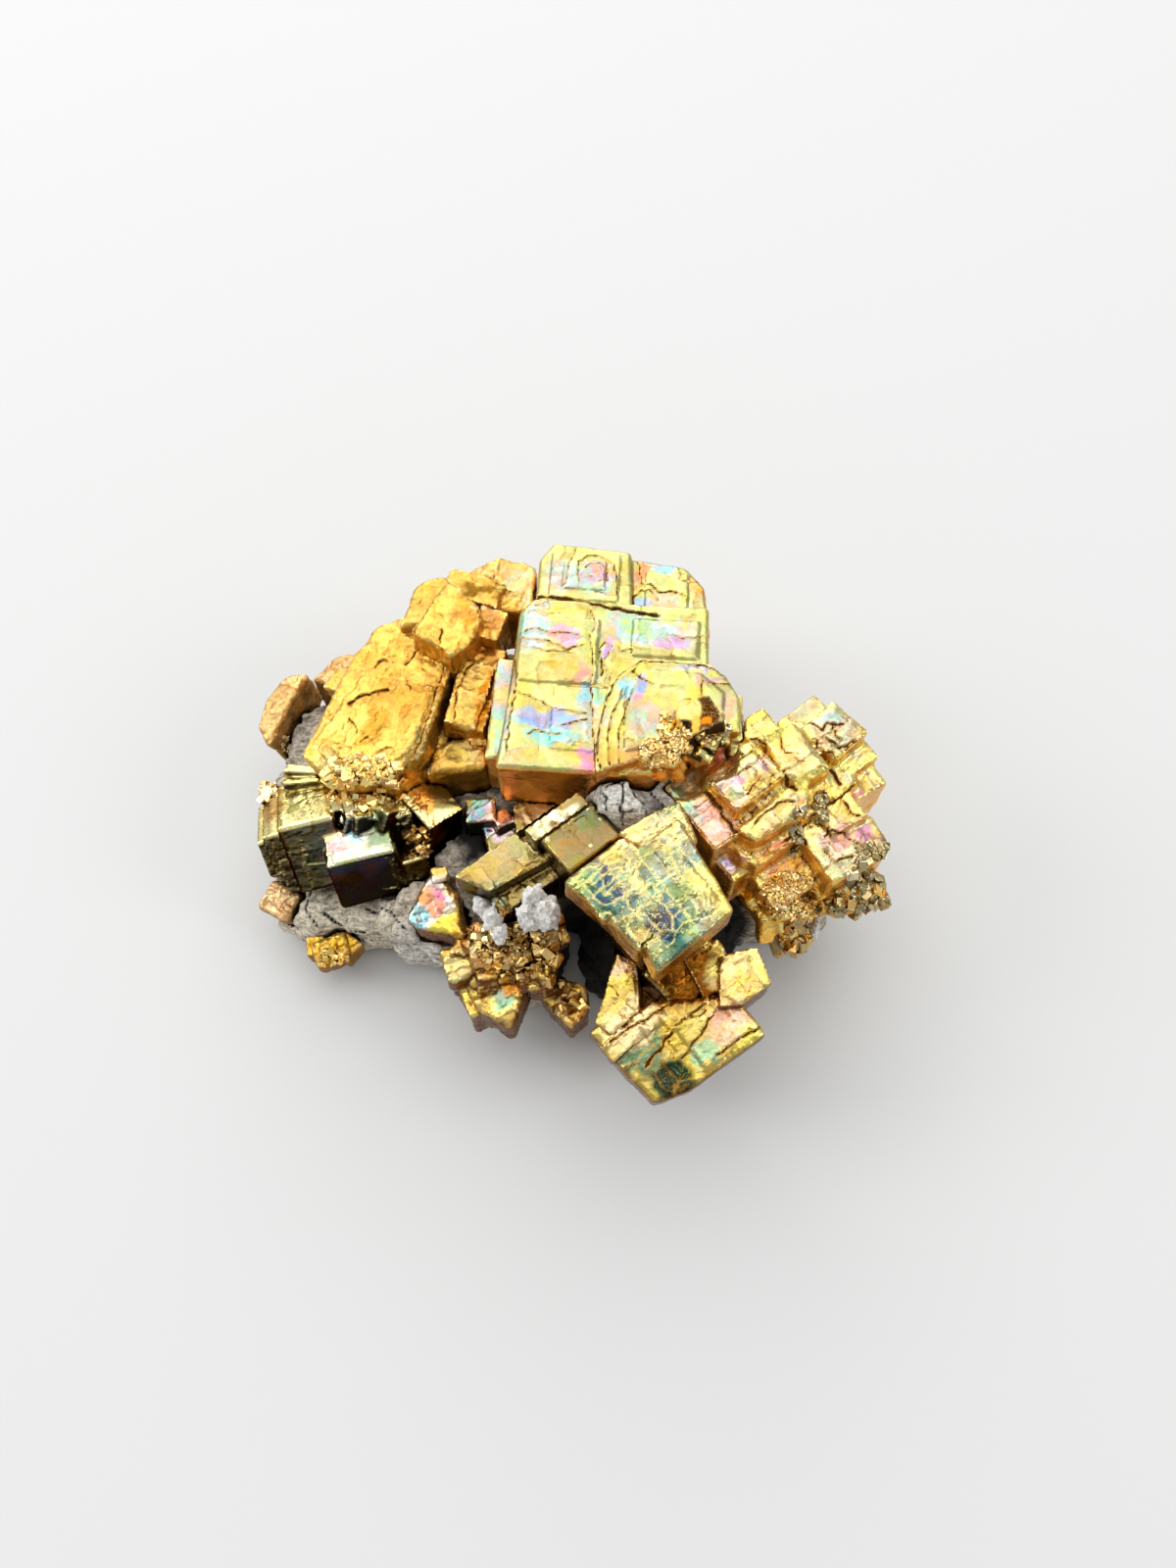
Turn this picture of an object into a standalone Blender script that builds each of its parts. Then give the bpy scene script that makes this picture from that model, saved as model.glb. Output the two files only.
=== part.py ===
"""Iridescent pyrite cluster on its host rock, as separate named solids.

Run with: blender --background --python part.py
Metres, +Z up. The origin is the middle of the flat underside of the rock, +X is the long way,
and -Y is the side on which the lone front cube hangs out. Sizes in the tables are millimetres.
"""

import math
import random
from collections import namedtuple

import bmesh
import bpy
from mathutils import Matrix, Vector, noise

MM = 0.001

# ---- Driving dimensions, in millimetres -------------------------------------------------------
GAP = 0.3             # air between two nodes, so that none of them touch
LUMP_GAP = 0.4        # the same around a rounded lump, whose facets cut its corners
WORN_EDGE = 0.22      # rounding along the edges of the larger crystals
WORN_FROM = 4.7       # a crystal thinner than this in any direction keeps sharp edges
STEP_TALL = 2.2       # anything thinner is a growth step on a crystal's top, and meets no neighbour
TERRACE_TURN = 36.0   # the central plate, the right terraces and the front cube share this turn
CUBE_TURN = -4.0      # the large cube and the slab behind it
PLATE_TURN = -17.0    # the long golden plates on the left
LEANING_TURN = 15.0   # the two dark-fronted cubes at the lower left
LEANING_BACK = 30.0   # how far those two lean away from the front
GRAIN = 1.1           # typical side of a druse crystal
GRAIN_SIDES = (0.75, 1.35)  # smallest and largest over the typical one
GRAIN_DEEP = 2.1      # a druse crystal's height over its side, most of it sunk in what it grows on
GRAIN_PROUD = 0.3     # how far it stands out, over its side
GRAIN_TILT = 35.0     # how far it may lean
DRUSE_MARGIN = 1.7    # how far a patch's outermost grains reach past its edge
DRUSE_RISE = 1.8      # and past its top
DRUSE_BOXY = 0.5      # how boxy the room cleared for a patch is
ROCK_ROUGHNESS = 1.4  # how far the broken rock swells and sinks
CLAY_ROUGHNESS = 0.9  # the same for the small clay and quartz lumps
BROAD_SWELL = 0.16    # swells to the millimetre in the rock's broad unevenness
FINE_SWELL = 0.45     # and in the finer one laid over it
BIG_LUMP = 12.0       # lumps wider than this get finer facets
ROCK_WINDOW = 14.0    # top of the rock where it shows between the cubes
CRACK_WIDE = 0.35     # the grooves in that window
CRACK_DEEP = 1.2
BELOW = 40.0          # a cutter reaches this far under the table
TABLE_WIDE = 200.0    # the cutter that makes the underside flat

# One crystal: its size, the middle of its top face, its turn about Z in degrees, and how far its
# top leans back (towards +Y before it is turned) and to its right.
Crystal = namedtuple("Crystal", "wide deep tall x y top turn back right", defaults=(0, 0, 0))

# One plate with an uneven outline: corners (x, y) counter-clockwise, its top and its thickness.
Plate = namedtuple("Plate", "corners top tall back right", defaults=(0, 0))

# One patch of druse: centre, half sizes across and up, number of grains, their side and the seed.
Druse = namedtuple("Druse", "x y z across deep rise grains side seed")

# One lump of rock, clay or quartz: centre, half sizes, boxiness (1 round, below 1 boxy), seed.
Lump = namedtuple("Lump", "x y z wide deep tall power seed")

# ---- The crystals ----------------------------------------------------------------------------
LARGE_CUBE = [
    # the large cube, its left strip and the plates behind it
    Plate([(-7.1, 0.2), (1.6, -0.5), (7.0, -0.7), (9.2, 2.4), (12.4, 5.6), (12.6, 11.0),
           (12.8, 17.2), (5.4, 17.7), (-4.0, 18.3), (-5.3, 16.9), (-5.9, 10.0)], 24.0, 7.6),
    Crystal(1.9, 10.6, 6.4, -6.9, 7.1, 22.4, CUBE_TURN),
    Plate([(-3.9, 16.0), (5.5, 15.6), (5.5, 24.5), (-2.2, 25.6), (-3.6, 23.6)], 23.1, 9.0),
    Plate([(4.6, 15.6), (13.0, 15.0), (12.7, 20.6), (11.0, 22.9), (4.6, 24.2)], 22.6, 8.4),
    # growth steps on the slab behind and on the cube
    Crystal(6.6, 5.4, 1.4, 0.9, 21.4, 23.3, CUBE_TURN),
    Crystal(4.0, 3.2, 1.4, 0.8, 21.5, 23.5, CUBE_TURN),
    Crystal(4.0, 4.4, 1.4, 9.0, 19.9, 22.85, CUBE_TURN),
    Crystal(7.2, 7.0, 1.4, -1.6, 12.4, 24.2, CUBE_TURN),
    Crystal(5.0, 6.4, 1.4, 0.4, 5.0, 24.15, CUBE_TURN),
    Crystal(6.2, 4.0, 1.4, 8.6, 13.6, 24.25, CUBE_TURN),
    # the rounded plate on its right corner, with its stepped rim
    Plate([(1.9, -0.9), (6.3, 0.5), (5.4, 2.0), (14.9, 3.2), (15.1, 6.6), (14.0, 8.9), (12.5, 10.2),
           (6.3, 10.7), (4.4, 9.3), (3.2, 8.0), (2.2, 3.4)], 25.1, 2.4),
    Plate([(9.6, 2.6), (14.4, 3.5), (14.7, 6.4), (13.2, 9.0), (10.4, 9.4)], 24.2, 7.0),
    Plate([(4.6, 1.2), (13.2, 3.4), (13.6, 7.0), (11.6, 9.0), (6.7, 9.4), (4.8, 7.4)], 25.3, 2.0),
    Crystal(0.9, 4.8, 6.0, 15.0, 5.2, 23.8, CUBE_TURN),
    Crystal(1.6, 1.8, 3.0, 14.9, 2.6, 23.4, 10),
    # the dark metallic crystal on the plate
    Crystal(3.4, 3.2, 3.6, 10.9, 3.2, 28.0, 24, 12, -8),
    Crystal(2.2, 2.0, 2.6, 12.0, 1.6, 27.2, 60, -14, 10),
    Crystal(2.0, 2.2, 2.8, 9.7, 1.4, 27.0, -20, -20, -6),
    # cubes on the hidden back
    Crystal(7.5, 5.0, 7.0, 2.5, 23.5, 15.6, 12, -24),
    Crystal(5.0, 4.4, 6.0, 9.6, 21.6, 15.0, -22, -18, 10),
]
LARGE_CUBE_DRUSE = [
    Druse(8.4, 0.6, 24.2, 2.1, 1.9, 1.2, 12, GRAIN + 0.1, 11),
    Druse(11.0, 2.0, 25.8, 2.4, 2.2, 1.0, 6, GRAIN + 0.1, 12),
]

LEFT_PLATES = [
    # the great cracked plate and the slabs stacked on its back end
    Plate([(-26.0, 3.4), (-22.4, 0.2), (-17.0, 0.6), (-14.4, 3.0), (-12.0, 13.4), (-17.3, 18.3),
           (-19.8, 17.3), (-21.9, 14.2)], 20.6, 8.4, 0, -7),
    Plate([(-24.8, 4.6), (-22.2, 1.4), (-17.5, 1.6), (-15.2, 3.8), (-13.8, 9.8), (-20.8, 11.5)],
          20.85, 2.2, 0, -7),
    Plate([(-17.2, 16.4), (-12.6, 16.6), (-12.6, 21.6), (-13.7, 22.0), (-16.0, 20.9)], 22.3, 7.0),
    Plate([(-15.6, 14.6), (-11.6, 11.8), (-9.9, 13.9), (-9.0, 16.2), (-9.8, 18.2), (-12.7, 20.5)],
          23.8, 5.0, 4, 3),
    Crystal(2.2, 2.4, 4.0, -23.4, 12.4, 18.6, -24, 0, -10),
    # what stands behind it
    Crystal(5.6, 3.0, 6.0, -10.4, 21.6, 21.2, PLATE_TURN),
    Plate([(-11.5, 22.6), (-7.4, 19.4), (-4.3, 19.6), (-4.3, 24.9), (-8.0, 26.0), (-11.0, 24.2)],
          20.2, 7.0),
    # small crystals in the corner between the plate and the large cube
    Crystal(2.4, 3.2, 5.0, -8.5, 16.7, 22.0, PLATE_TURN),
    Crystal(4.8, 2.4, 4.0, -9.6, 14.2, 20.2, PLATE_TURN),
    Crystal(3.0, 6.8, 6.0, -10.2, 9.2, 21.2, -13, 0, 4),
    Crystal(0.8, 6.4, 5.0, -8.5, 8.8, 20.4, -13),
    Plate([(-14.2, 2.0), (-8.6, 2.6), (-8.5, 6.4), (-13.2, 4.6)], 19.0, 6.5),
    Crystal(3.2, 5.4, 8.0, -14.4, 5.2, 18.4, PLATE_TURN, 0, 6),
    Crystal(3.0, 9.6, 6.0, -13.0, 9.8, 18.9, PLATE_TURN, 0, 24),
    # lower blocks under its outer edge
    Crystal(6.5, 9.0, 7.0, -21.5, 9.0, 15.4, -24, 0, -14),
    Crystal(5.5, 5.0, 7.0, -15.5, 19.0, 16.4, -28, -16),
]

LEFT_EDGE_LOW = [
    Plate([(-33.3, 10.6), (-31.8, 8.6), (-28.6, 16.4), (-31.0, 16.2), (-32.6, 14.0)],
          12.4, 5.0, 0, -10),
]
LEFT_EDGE_HIGH = [
    Plate([(-27.5, 15.1), (-24.9, 14.2), (-22.6, 15.2), (-22.6, 18.2), (-25.2, 17.8)], 14.0, 6.0),
]

LOWER_LEFT = [
    # the first leaning cube, the thin plates on its left and its stepped back edge
    Crystal(5.3, 7.4, 8.2, -26.5, 0.6, 15.4, LEANING_TURN, LEANING_BACK),
    Crystal(1.3, 6.4, 7.4, -29.4, -0.6, 14.6, LEANING_TURN, LEANING_BACK),
    Crystal(1.2, 5.6, 6.0, -30.2, -0.7, 13.8, LEANING_TURN, LEANING_BACK),
    Crystal(1.2, 6.0, 4.4, -30.9, -0.8, 12.9, LEANING_TURN, LEANING_BACK),
    Crystal(4.6, 1.4, 1.6, -26.6, 3.4, 14.9, 6, LEANING_BACK),
    Crystal(4.0, 1.0, 1.4, -26.8, 4.2, 15.2, -4, LEANING_BACK),
    # the second leaning cube
    Crystal(6.7, 5.4, 6.0, -21.2, -2.9, 14.2, LEANING_TURN + 2, LEANING_BACK - 4),
    Crystal(3.2, 4.2, 5.0, -16.8, -3.0, 11.8, LEANING_TURN + 4, LEANING_BACK),
    # the olive cube beside the wedge and a small brown one below it
    Crystal(4.6, 4.0, 6.0, -13.8, -0.2, 17.0, -48, 16),
    Crystal(2.8, 2.2, 5.4, -17.2, -0.8, 14.0, 10, 20),
    Crystal(8.2, 3.4, 6.0, -20.2, -0.4, 15.3, 4),
    Crystal(1.5, 2.4, 4.6, -30.9, 2.6, 12.4, 20),
]
LOWER_LEFT_DRUSE = [
    Druse(-20.4, -0.4, 16.0, 4.2, 1.2, 1.2, 18, GRAIN + 0.2, 22),
]

CENTRAL_PLATE = [
    # the central plate, its stepped back corner and the block that carries it
    Plate([(-0.8, -11.6), (3.0, -14.9), (5.4, -17.6), (5.9, -17.0), (6.9, -19.3), (13.3, -14.1),
           (9.0, -5.8), (5.6, -8.6), (4.2, -7.6)], 26.0, 3.6),
    Crystal(5.2, 5.0, 1.2, 8.6, -13.0, 26.2, TERRACE_TURN),
    Crystal(7.0, 2.4, 1.2, 4.6, -12.0, 26.15, TERRACE_TURN),
    Plate([(3.9, -6.7), (6.4, -8.8), (10.7, -7.6), (9.2, -3.6)], 25.0, 5.0),
    Crystal(6.6, 6.4, 15.0, 7.4, -11.4, 23.6, TERRACE_TURN),
]
TERRACES = [
    Crystal(13.6, 8.6, 9.0, 18.2, -0.6, 21.2, TERRACE_TURN),
    Crystal(4.2, 2.6, 8.0, 16.4, 3.9, 24.0, TERRACE_TURN - 4),
    Crystal(4.2, 2.0, 8.0, 13.1, 2.2, 22.6, TERRACE_TURN),
    Crystal(3.2, 2.5, 7.0, 10.4, -0.7, 22.0, TERRACE_TURN),
    Crystal(1.3, 1.6, 6.0, 11.8, 0.5, 22.2, TERRACE_TURN),
    Crystal(2.8, 5.6, 7.0, 11.9, -4.3, 22.8, TERRACE_TURN),
    Crystal(5.6, 4.5, 6.0, 15.2, -0.9, 24.5, TERRACE_TURN + 2),
    Crystal(3.8, 3.0, 2.0, 15.2, -0.9, 24.7, TERRACE_TURN + 2),
    Plate([(14.5, -5.8), (16.0, -6.9), (20.6, -4.0), (21.2, -1.6), (18.9, -1.8)], 23.4, 6.0),
    Crystal(3.5, 5.4, 7.0, 20.2, 1.6, 23.6, TERRACE_TURN - 4),
    Crystal(2.6, 2.6, 2.0, 20.6, 0.8, 23.8, TERRACE_TURN - 4),
    Crystal(4.2, 4.2, 8.0, 24.1, 4.4, 23.0, TERRACE_TURN + 6),
    Crystal(2.8, 2.6, 2.0, 24.0, 4.6, 23.2, TERRACE_TURN + 6),
    Crystal(4.8, 1.6, 7.0, 21.6, 6.9, 21.4, TERRACE_TURN + 3),
    Crystal(3.5, 2.4, 7.0, 26.3, 2.6, 21.2, TERRACE_TURN),
    Crystal(4.0, 2.6, 7.0, 26.8, 0.4, 20.2, TERRACE_TURN - 3),
    Crystal(3.8, 2.8, 6.0, 24.4, -3.1, 21.0, TERRACE_TURN - 4),
    Plate([(20.5, -5.0), (23.3, -9.6), (28.2, -6.9), (28.6, -5.6), (27.3, -3.0), (22.5, -3.2)],
          20.2, 5.0),
    Crystal(3.4, 3.0, 1.6, 24.6, -5.6, 20.4, TERRACE_TURN - 6),
    Crystal(4.4, 1.5, 5.0, 17.6, -6.5, 21.0, TERRACE_TURN),
    Crystal(4.6, 4.2, 7.0, 19.0, -8.4, 18.2, TERRACE_TURN - 4, -6),
    Crystal(2.4, 2.2, 6.0, 14.7, -7.6, 19.4, TERRACE_TURN),
    # lower crystals under the right edge and at the hidden right side
    Crystal(8.0, 6.0, 7.0, 24.4, -5.0, 15.6, TERRACE_TURN, 0, 8),
    Crystal(6.0, 7.0, 7.0, 25.6, 3.0, 15.0, TERRACE_TURN - 12, 0, 14),
    Crystal(2.4, 2.2, 5.0, 20.8, -12.2, 12.4, 20, -10),
]
TERRACES_DRUSE = [
    Druse(19.0, -10.5, 15.0, 2.4, 1.6, 1.3, 12, GRAIN + 0.1, 31),
    Druse(26.3, -9.0, 15.4, 2.4, 1.5, 1.4, 14, GRAIN + 0.2, 38),
]

MIDDLE = [
    # the olive cube with its pale rim, the striated plate and the block below them
    Crystal(5.8, 4.7, 7.0, 0.4, -5.6, 21.6, 38, 6),
    Crystal(6.0, 1.4, 6.0, -1.6, -3.9, 21.9, 38),
    Plate([(-10.8, -8.9), (-7.7, -10.2), (-2.3, -7.0), (-5.6, -4.6)], 19.6, 2.6, 0, 4),
    Crystal(6.2, 3.4, 6.0, -4.4, -8.0, 17.6, 36),
    Crystal(1.8, 1.6, 5.0, -6.6, -10.4, 17.3, 30),
    # small crystals in the gap below the large cube
    Crystal(2.7, 2.4, 3.6, -9.1, -0.9, 16.6, 4),
    Crystal(1.8, 1.8, 3.0, -7.0, -1.5, 16.2, 30, 10, 12),
    Plate([(-5.9, -0.6), (-5.6, -3.4), (-2.1, -0.6), (-2.5, 0.6)], 16.8, 3.4),
    Crystal(7.6, 6.6, 5.0, -4.6, -3.9, 15.2, 14),
]

FRONT_CUBE = [
    # the lone front cube: a stepped plate on a block set back under it
    Plate([(1.3, -22.3), (6.9, -28.3), (9.9, -27.2), (16.7, -22.5), (14.2, -19.2), (7.2, -19.8)],
          17.2, 3.0, -4),
    Crystal(6.0, 1.6, 1.4, 5.2, -22.4, 17.55, TERRACE_TURN + 4, -4),
    Crystal(4.6, 4.4, 1.2, 12.0, -22.4, 17.35, TERRACE_TURN, -4),
    Crystal(7.0, 5.0, 10.0, 9.0, -21.0, 15.2, TERRACE_TURN),
    Plate([(1.9, -21.6), (3.2, -22.6), (5.6, -20.6), (5.4, -16.4), (3.8, -15.6)],
          17.8, 4.0, 0, -10),
    Plate([(12.7, -20.4), (14.6, -20.2), (17.2, -18.3), (16.2, -15.2), (13.0, -16.0)], 18.6, 4.4),
    Crystal(3.8, 4.6, 7.0, 9.2, -17.6, 17.2, TERRACE_TURN + 10, -16),
    Crystal(3.6, 4.0, 8.0, 12.2, -16.8, 17.6, TERRACE_TURN - 8, -10),
    # its foot, which has grown into the rock
    Crystal(7.6, 9.0, 7.0, 9.4, -15.6, 12.6, TERRACE_TURN - 30),
]

FRONT_DRUSE = [
    # the rainbow crystal, the pale one below it, and the low cube at the edge
    Plate([(-15.8, -11.0), (-14.9, -11.9), (-10.3, -12.8), (-11.4, -8.6), (-13.2, -6.9), (-14.0, -7.0)],
          14.2, 6.0, -8),
    Crystal(1.3, 1.3, 3.0, -13.0, -6.8, 14.8, 10),
    Plate([(-12.6, -13.9), (-11.5, -17.0), (-9.2, -15.8), (-10.3, -13.2)], 13.2, 5.0),
    Plate([(-10.2, -16.6), (-9.1, -19.0), (-6.0, -20.6), (-4.6, -16.8), (-6.7, -15.6)], 11.4, 5.5),
    Crystal(4.0, 5.0, 6.0, -9.0, -16.4, 10.6, 26),
    Crystal(2.6, 2.4, 4.0, -2.2, -12.8, 15.0, 30, -10),
    Crystal(2.0, 3.4, 4.0, -3.4, -15.6, 12.6, 6),
    Plate([(-3.1, -17.4), (-0.4, -20.2), (1.0, -18.8), (1.0, -16.4), (-1.2, -15.6)], 9.4, 4.5),
    Crystal(8.0, 6.0, 7.0, -6.4, -13.4, 12.4, 12),
]
FRONT_DRUSE_DRUSE = [
    Druse(-6.6, -13.6, 13.0, 4.2, 2.6, 1.4, 24, GRAIN + 0.2, 41),
    Druse(-3.2, -14.6, 12.4, 2.0, 2.2, 1.2, 5, GRAIN + 0.2, 45),
]

EDGE_GOLD = [
    Crystal(3.4, 2.6, 3.4, -24.8, -11.6, 5.6, 24, -10),
    Crystal(2.0, 2.0, 2.6, -23.4, -11.0, 5.2, 50),
    Crystal(1.6, 1.8, 2.4, -26.6, -10.8, 4.8, 10),
]
EDGE_PEACH = [
    Crystal(3.4, 3.0, 3.8, -30.4, -6.8, 6.8, -30, -16),
]

# ---- Rock, clay and quartz -------------------------------------------------------------------
ROCK_LUMPS = [
    Lump(0, 6, 5.5, 19, 15, 9.6, 0.6, 1),
    Lump(5.6, -0.8, 12.0, 5.4, 5.0, 11.6, 0.6, 2),
    Lump(-20, 5, 4.5, 10, 11, 8.0, 0.62, 3),
    Lump(-22.5, -5, 2.6, 8.5, 6.0, 5.6, 0.7, 4),
    Lump(-12, -5.5, 4.5, 9, 7.0, 7.0, 0.66, 5),
    Lump(18, -2, 5.4, 9.0, 8.6, 7.4, 0.62, 6),
    Lump(8, -9.5, 4.0, 8, 7, 7.0, 0.66, 7),
    Lump(-14, 15, 5.5, 10, 7, 8.0, 0.66, 8),
    Lump(-29.0, 1.5, 4.2, 3.4, 7.4, 6.8, 0.72, 9),
    Lump(-6.5, -11.5, 3.4, 6.0, 4.4, 5.0, 0.7, 10),
    Lump(-27.6, 10.8, 6.6, 3.6, 4.4, 4.6, 0.7, 12),
]
ROCK_CRACKS = [
    # thin grooves through the window between the cubes: middle, length and turn
    (5.2, 1.6, 6.4, 40),
    (3.9, -0.4, 4.6, 88),
    (7.6, 2.2, 4.2, -28),
]
CLAY_LONG = [
    Lump(-8.6, -10.6, 15.8, 1.0, 1.2, 3.2, 0.9, 51),
    Lump(-7.7, -11.9, 15.6, 0.9, 1.3, 3.0, 0.9, 52),
    Lump(-6.8, -13.3, 15.2, 1.0, 1.1, 2.8, 0.9, 53),
]
CLAY_ROUND = [
    Lump(-3.5, -10.6, 18.2, 1.5, 1.2, 3.4, 0.9, 61),
    Lump(-2.6, -11.8, 17.8, 1.1, 1.2, 3.2, 0.9, 62),
    Lump(-4.4, -12.2, 17.2, 1.2, 1.2, 3.2, 0.9, 63),
]
QUARTZ = [
    Lump(22.3, -9.9, 14.6, 1.3, 1.5, 3.0, 0.8, 71),
    Lump(22.1, -11.3, 13.2, 1.3, 1.4, 2.8, 0.8, 72),
]


# ---- Building blocks -------------------------------------------------------------------------
def clear_scene():
    for old in list(bpy.data.objects):
        bpy.data.objects.remove(old, do_unlink=True)


def collection(name):
    found = bpy.data.collections.new(name)
    bpy.context.scene.collection.children.link(found)
    return found


def surface(name, colour, roughness, metallic):
    made = bpy.data.materials.new(name)
    made.use_nodes = True
    shader = made.node_tree.nodes["Principled BSDF"]
    shader.inputs["Base Color"].default_value = (*colour, 1)
    shader.inputs["Roughness"].default_value = roughness
    shader.inputs["Metallic"].default_value = metallic
    return made


def settle(obj, name, into):
    """Names the object, moves it to its collection, and bakes its place into its mesh."""
    for old in list(obj.users_collection):
        old.objects.unlink(obj)
    into.objects.link(obj)
    obj.name = name
    obj.data.name = name
    obj.data.transform(obj.matrix_basis)
    obj.matrix_basis = Matrix.Identity(4)
    return obj


def leaning(x, y, top, turn, back, right):
    """The placing of a crystal: leaned about the middle of its top, turned, then moved there."""
    lean = Matrix.Rotation(math.radians(-back), 4, "X") @ Matrix.Rotation(math.radians(right), 4, "Y")
    return Matrix.Translation(Vector((x, y, top)) * MM) @ Matrix.Rotation(math.radians(turn), 4, "Z") @ lean


def worn(obj, width):
    """Rounds the edges of one crystal by one bevel segment."""
    mesh = bmesh.new()
    mesh.from_mesh(obj.data)
    bmesh.ops.bevel(mesh, geom=mesh.edges[:], offset=width * MM, segments=1, affect="EDGES",
                    clamp_overlap=True)
    mesh.to_mesh(obj.data)
    mesh.free()


def add_crystal(crystal, name, into, grow=0.0, edge=0.0):
    """A box of the crystal's size whose top face is where the table puts it."""
    size = Vector((crystal.wide, crystal.deep, crystal.tall)) + Vector((2, 2, 2)) * grow
    bpy.ops.mesh.primitive_cube_add(size=1, location=(0, 0, 0))
    box = bpy.context.object
    box.data.transform(Matrix.Diagonal((*(size * MM), 1)))
    if edge:
        worn(box, edge)
    down = Matrix.Translation((0, 0, -crystal.tall / 2 * MM))
    place = leaning(crystal.x, crystal.y, crystal.top, crystal.turn, crystal.back, crystal.right)
    box.matrix_basis = place @ down
    return settle(box, name, into)


def grown_outline(corners, grow):
    """The outline with each side moved outwards by grow."""
    found = []
    count = len(corners)
    for index in range(count):
        here = Vector(corners[index])
        before = (here - Vector(corners[index - 1])).normalized()
        after = (Vector(corners[(index + 1) % count]) - here).normalized()
        out_before = Vector((before.y, -before.x))
        out_after = Vector((after.y, -after.x))
        both = out_before + out_after
        found.append(here + both * (grow / (1 + out_before.dot(out_after))))
    return found


def add_plate(plate, name, into, grow=0.0, edge=0.0):
    """A flat outline, filled and extruded to the plate's thickness."""
    middle = sum((Vector(corner) for corner in plate.corners), Vector((0, 0))) / len(plate.corners)
    curve = bpy.data.curves.new(name, "CURVE")
    curve.dimensions = "2D"
    curve.fill_mode = "BOTH"
    curve.extrude = (plate.tall / 2 + grow) * MM
    spline = curve.splines.new("POLY")
    outline = grown_outline(plate.corners, grow)
    spline.points.add(len(outline) - 1)
    for point, corner in zip(spline.points, outline):
        point.co = (*((corner - middle) * MM), 0, 1)
    spline.use_cyclic_u = True
    guide = bpy.data.objects.new(name + "_outline", curve)
    bpy.context.scene.collection.objects.link(guide)
    bpy.context.view_layer.update()
    mesh = bpy.data.meshes.new_from_object(guide.evaluated_get(bpy.context.evaluated_depsgraph_get()))
    bpy.data.objects.remove(guide)
    bpy.data.curves.remove(curve)
    body = bpy.data.objects.new(name, mesh)
    work = bmesh.new()
    work.from_mesh(mesh)
    bmesh.ops.remove_doubles(work, verts=work.verts, dist=0.001 * MM)
    bmesh.ops.dissolve_limit(work, angle_limit=0.01, verts=work.verts, edges=work.edges)
    bmesh.ops.recalc_face_normals(work, faces=work.faces)
    work.to_mesh(mesh)
    work.free()
    if edge:
        worn(body, edge)
    down = Matrix.Translation((0, 0, -plate.tall / 2 * MM))
    bpy.context.scene.collection.objects.link(body)
    body.matrix_basis = leaning(middle.x, middle.y, plate.top, 0, plate.back, plate.right) @ down
    return settle(body, name, into)


def druse_grains(druse):
    """The small crystals of one druse patch, scattered on a low dome."""
    chance = random.Random(druse.seed)
    grains = []
    for _ in range(druse.grains):
        angle = chance.uniform(0, 2 * math.pi)
        reach = math.sqrt(chance.random())
        side = druse.side * chance.uniform(*GRAIN_SIDES)
        grains.append(Crystal(
            side, side * chance.uniform(0.8, 1.2), side * GRAIN_DEEP,
            druse.x + druse.across * reach * math.cos(angle),
            druse.y + druse.deep * reach * math.sin(angle),
            druse.z + druse.rise * (1 - reach * reach) + side * GRAIN_PROUD,
            chance.uniform(0, 90), chance.uniform(-GRAIN_TILT, GRAIN_TILT),
            chance.uniform(-GRAIN_TILT, GRAIN_TILT),
        ))
    return grains


def add_shape(shape, name, into, grow=0.0, edge=0.0):
    if isinstance(shape, Plate):
        return add_plate(shape, name, into, grow, edge)
    return add_crystal(shape, name, into, grow, edge)


def add_lump(lump, name, into, rough, detail, grow=0.0):
    """A boxy, uneven lump: an icosphere pushed towards a box and roughened."""
    bpy.ops.mesh.primitive_ico_sphere_add(subdivisions=detail, radius=1, location=(0, 0, 0))
    body = bpy.context.object
    half = Vector((lump.wide, lump.deep, lump.tall))
    shift = Vector((lump.seed * 3.7, lump.seed * 1.3, 0))
    for vertex in body.data.vertices:
        way = vertex.co.copy()
        boxy = Vector([math.copysign(abs(part) ** lump.power, part) for part in way])
        place = Vector([a * b for a, b in zip(boxy, half)])
        swell = noise.noise(place * BROAD_SWELL + shift) + noise.noise(place * FINE_SWELL + shift) / 2
        vertex.co = (place + way * (rough * swell + grow)) * MM
    body.location = Vector((lump.x, lump.y, lump.z)) * MM
    return settle(body, name, into)


def boolean(target, operation, operands):
    """One Boolean of the target with every object of a collection."""
    step = target.modifiers.new(operation.lower(), "BOOLEAN")
    step.operation = operation
    step.operand_type = "COLLECTION"
    step.collection = operands
    step.solver = "EXACT"


def hidden(objects):
    for obj in objects.objects:
        obj.hide_render = True
        obj.display_type = "WIRE"


def grown_group(name, shapes, druses, parts, material):
    """Crystals that have grown into each other: one solid made of all of them."""
    pieces = collection(name + "_pieces")
    body = add_shape(shapes[0], name, parts, edge=WORN_EDGE)
    body.data.materials.append(material)
    for index, shape in enumerate(shapes[1:]):
        thin = shape.tall if isinstance(shape, Plate) else min(shape.wide, shape.deep, shape.tall)
        edge = WORN_EDGE if thin > WORN_FROM else 0
        add_shape(shape, f"{name}_crystal_{index + 2}", pieces, edge=edge)
    for patch in druses:
        for index, grain in enumerate(druse_grains(patch)):
            add_shape(grain, f"{name}_grain_{patch.seed}_{index}", pieces)
    hidden(pieces)
    return body, pieces


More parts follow.
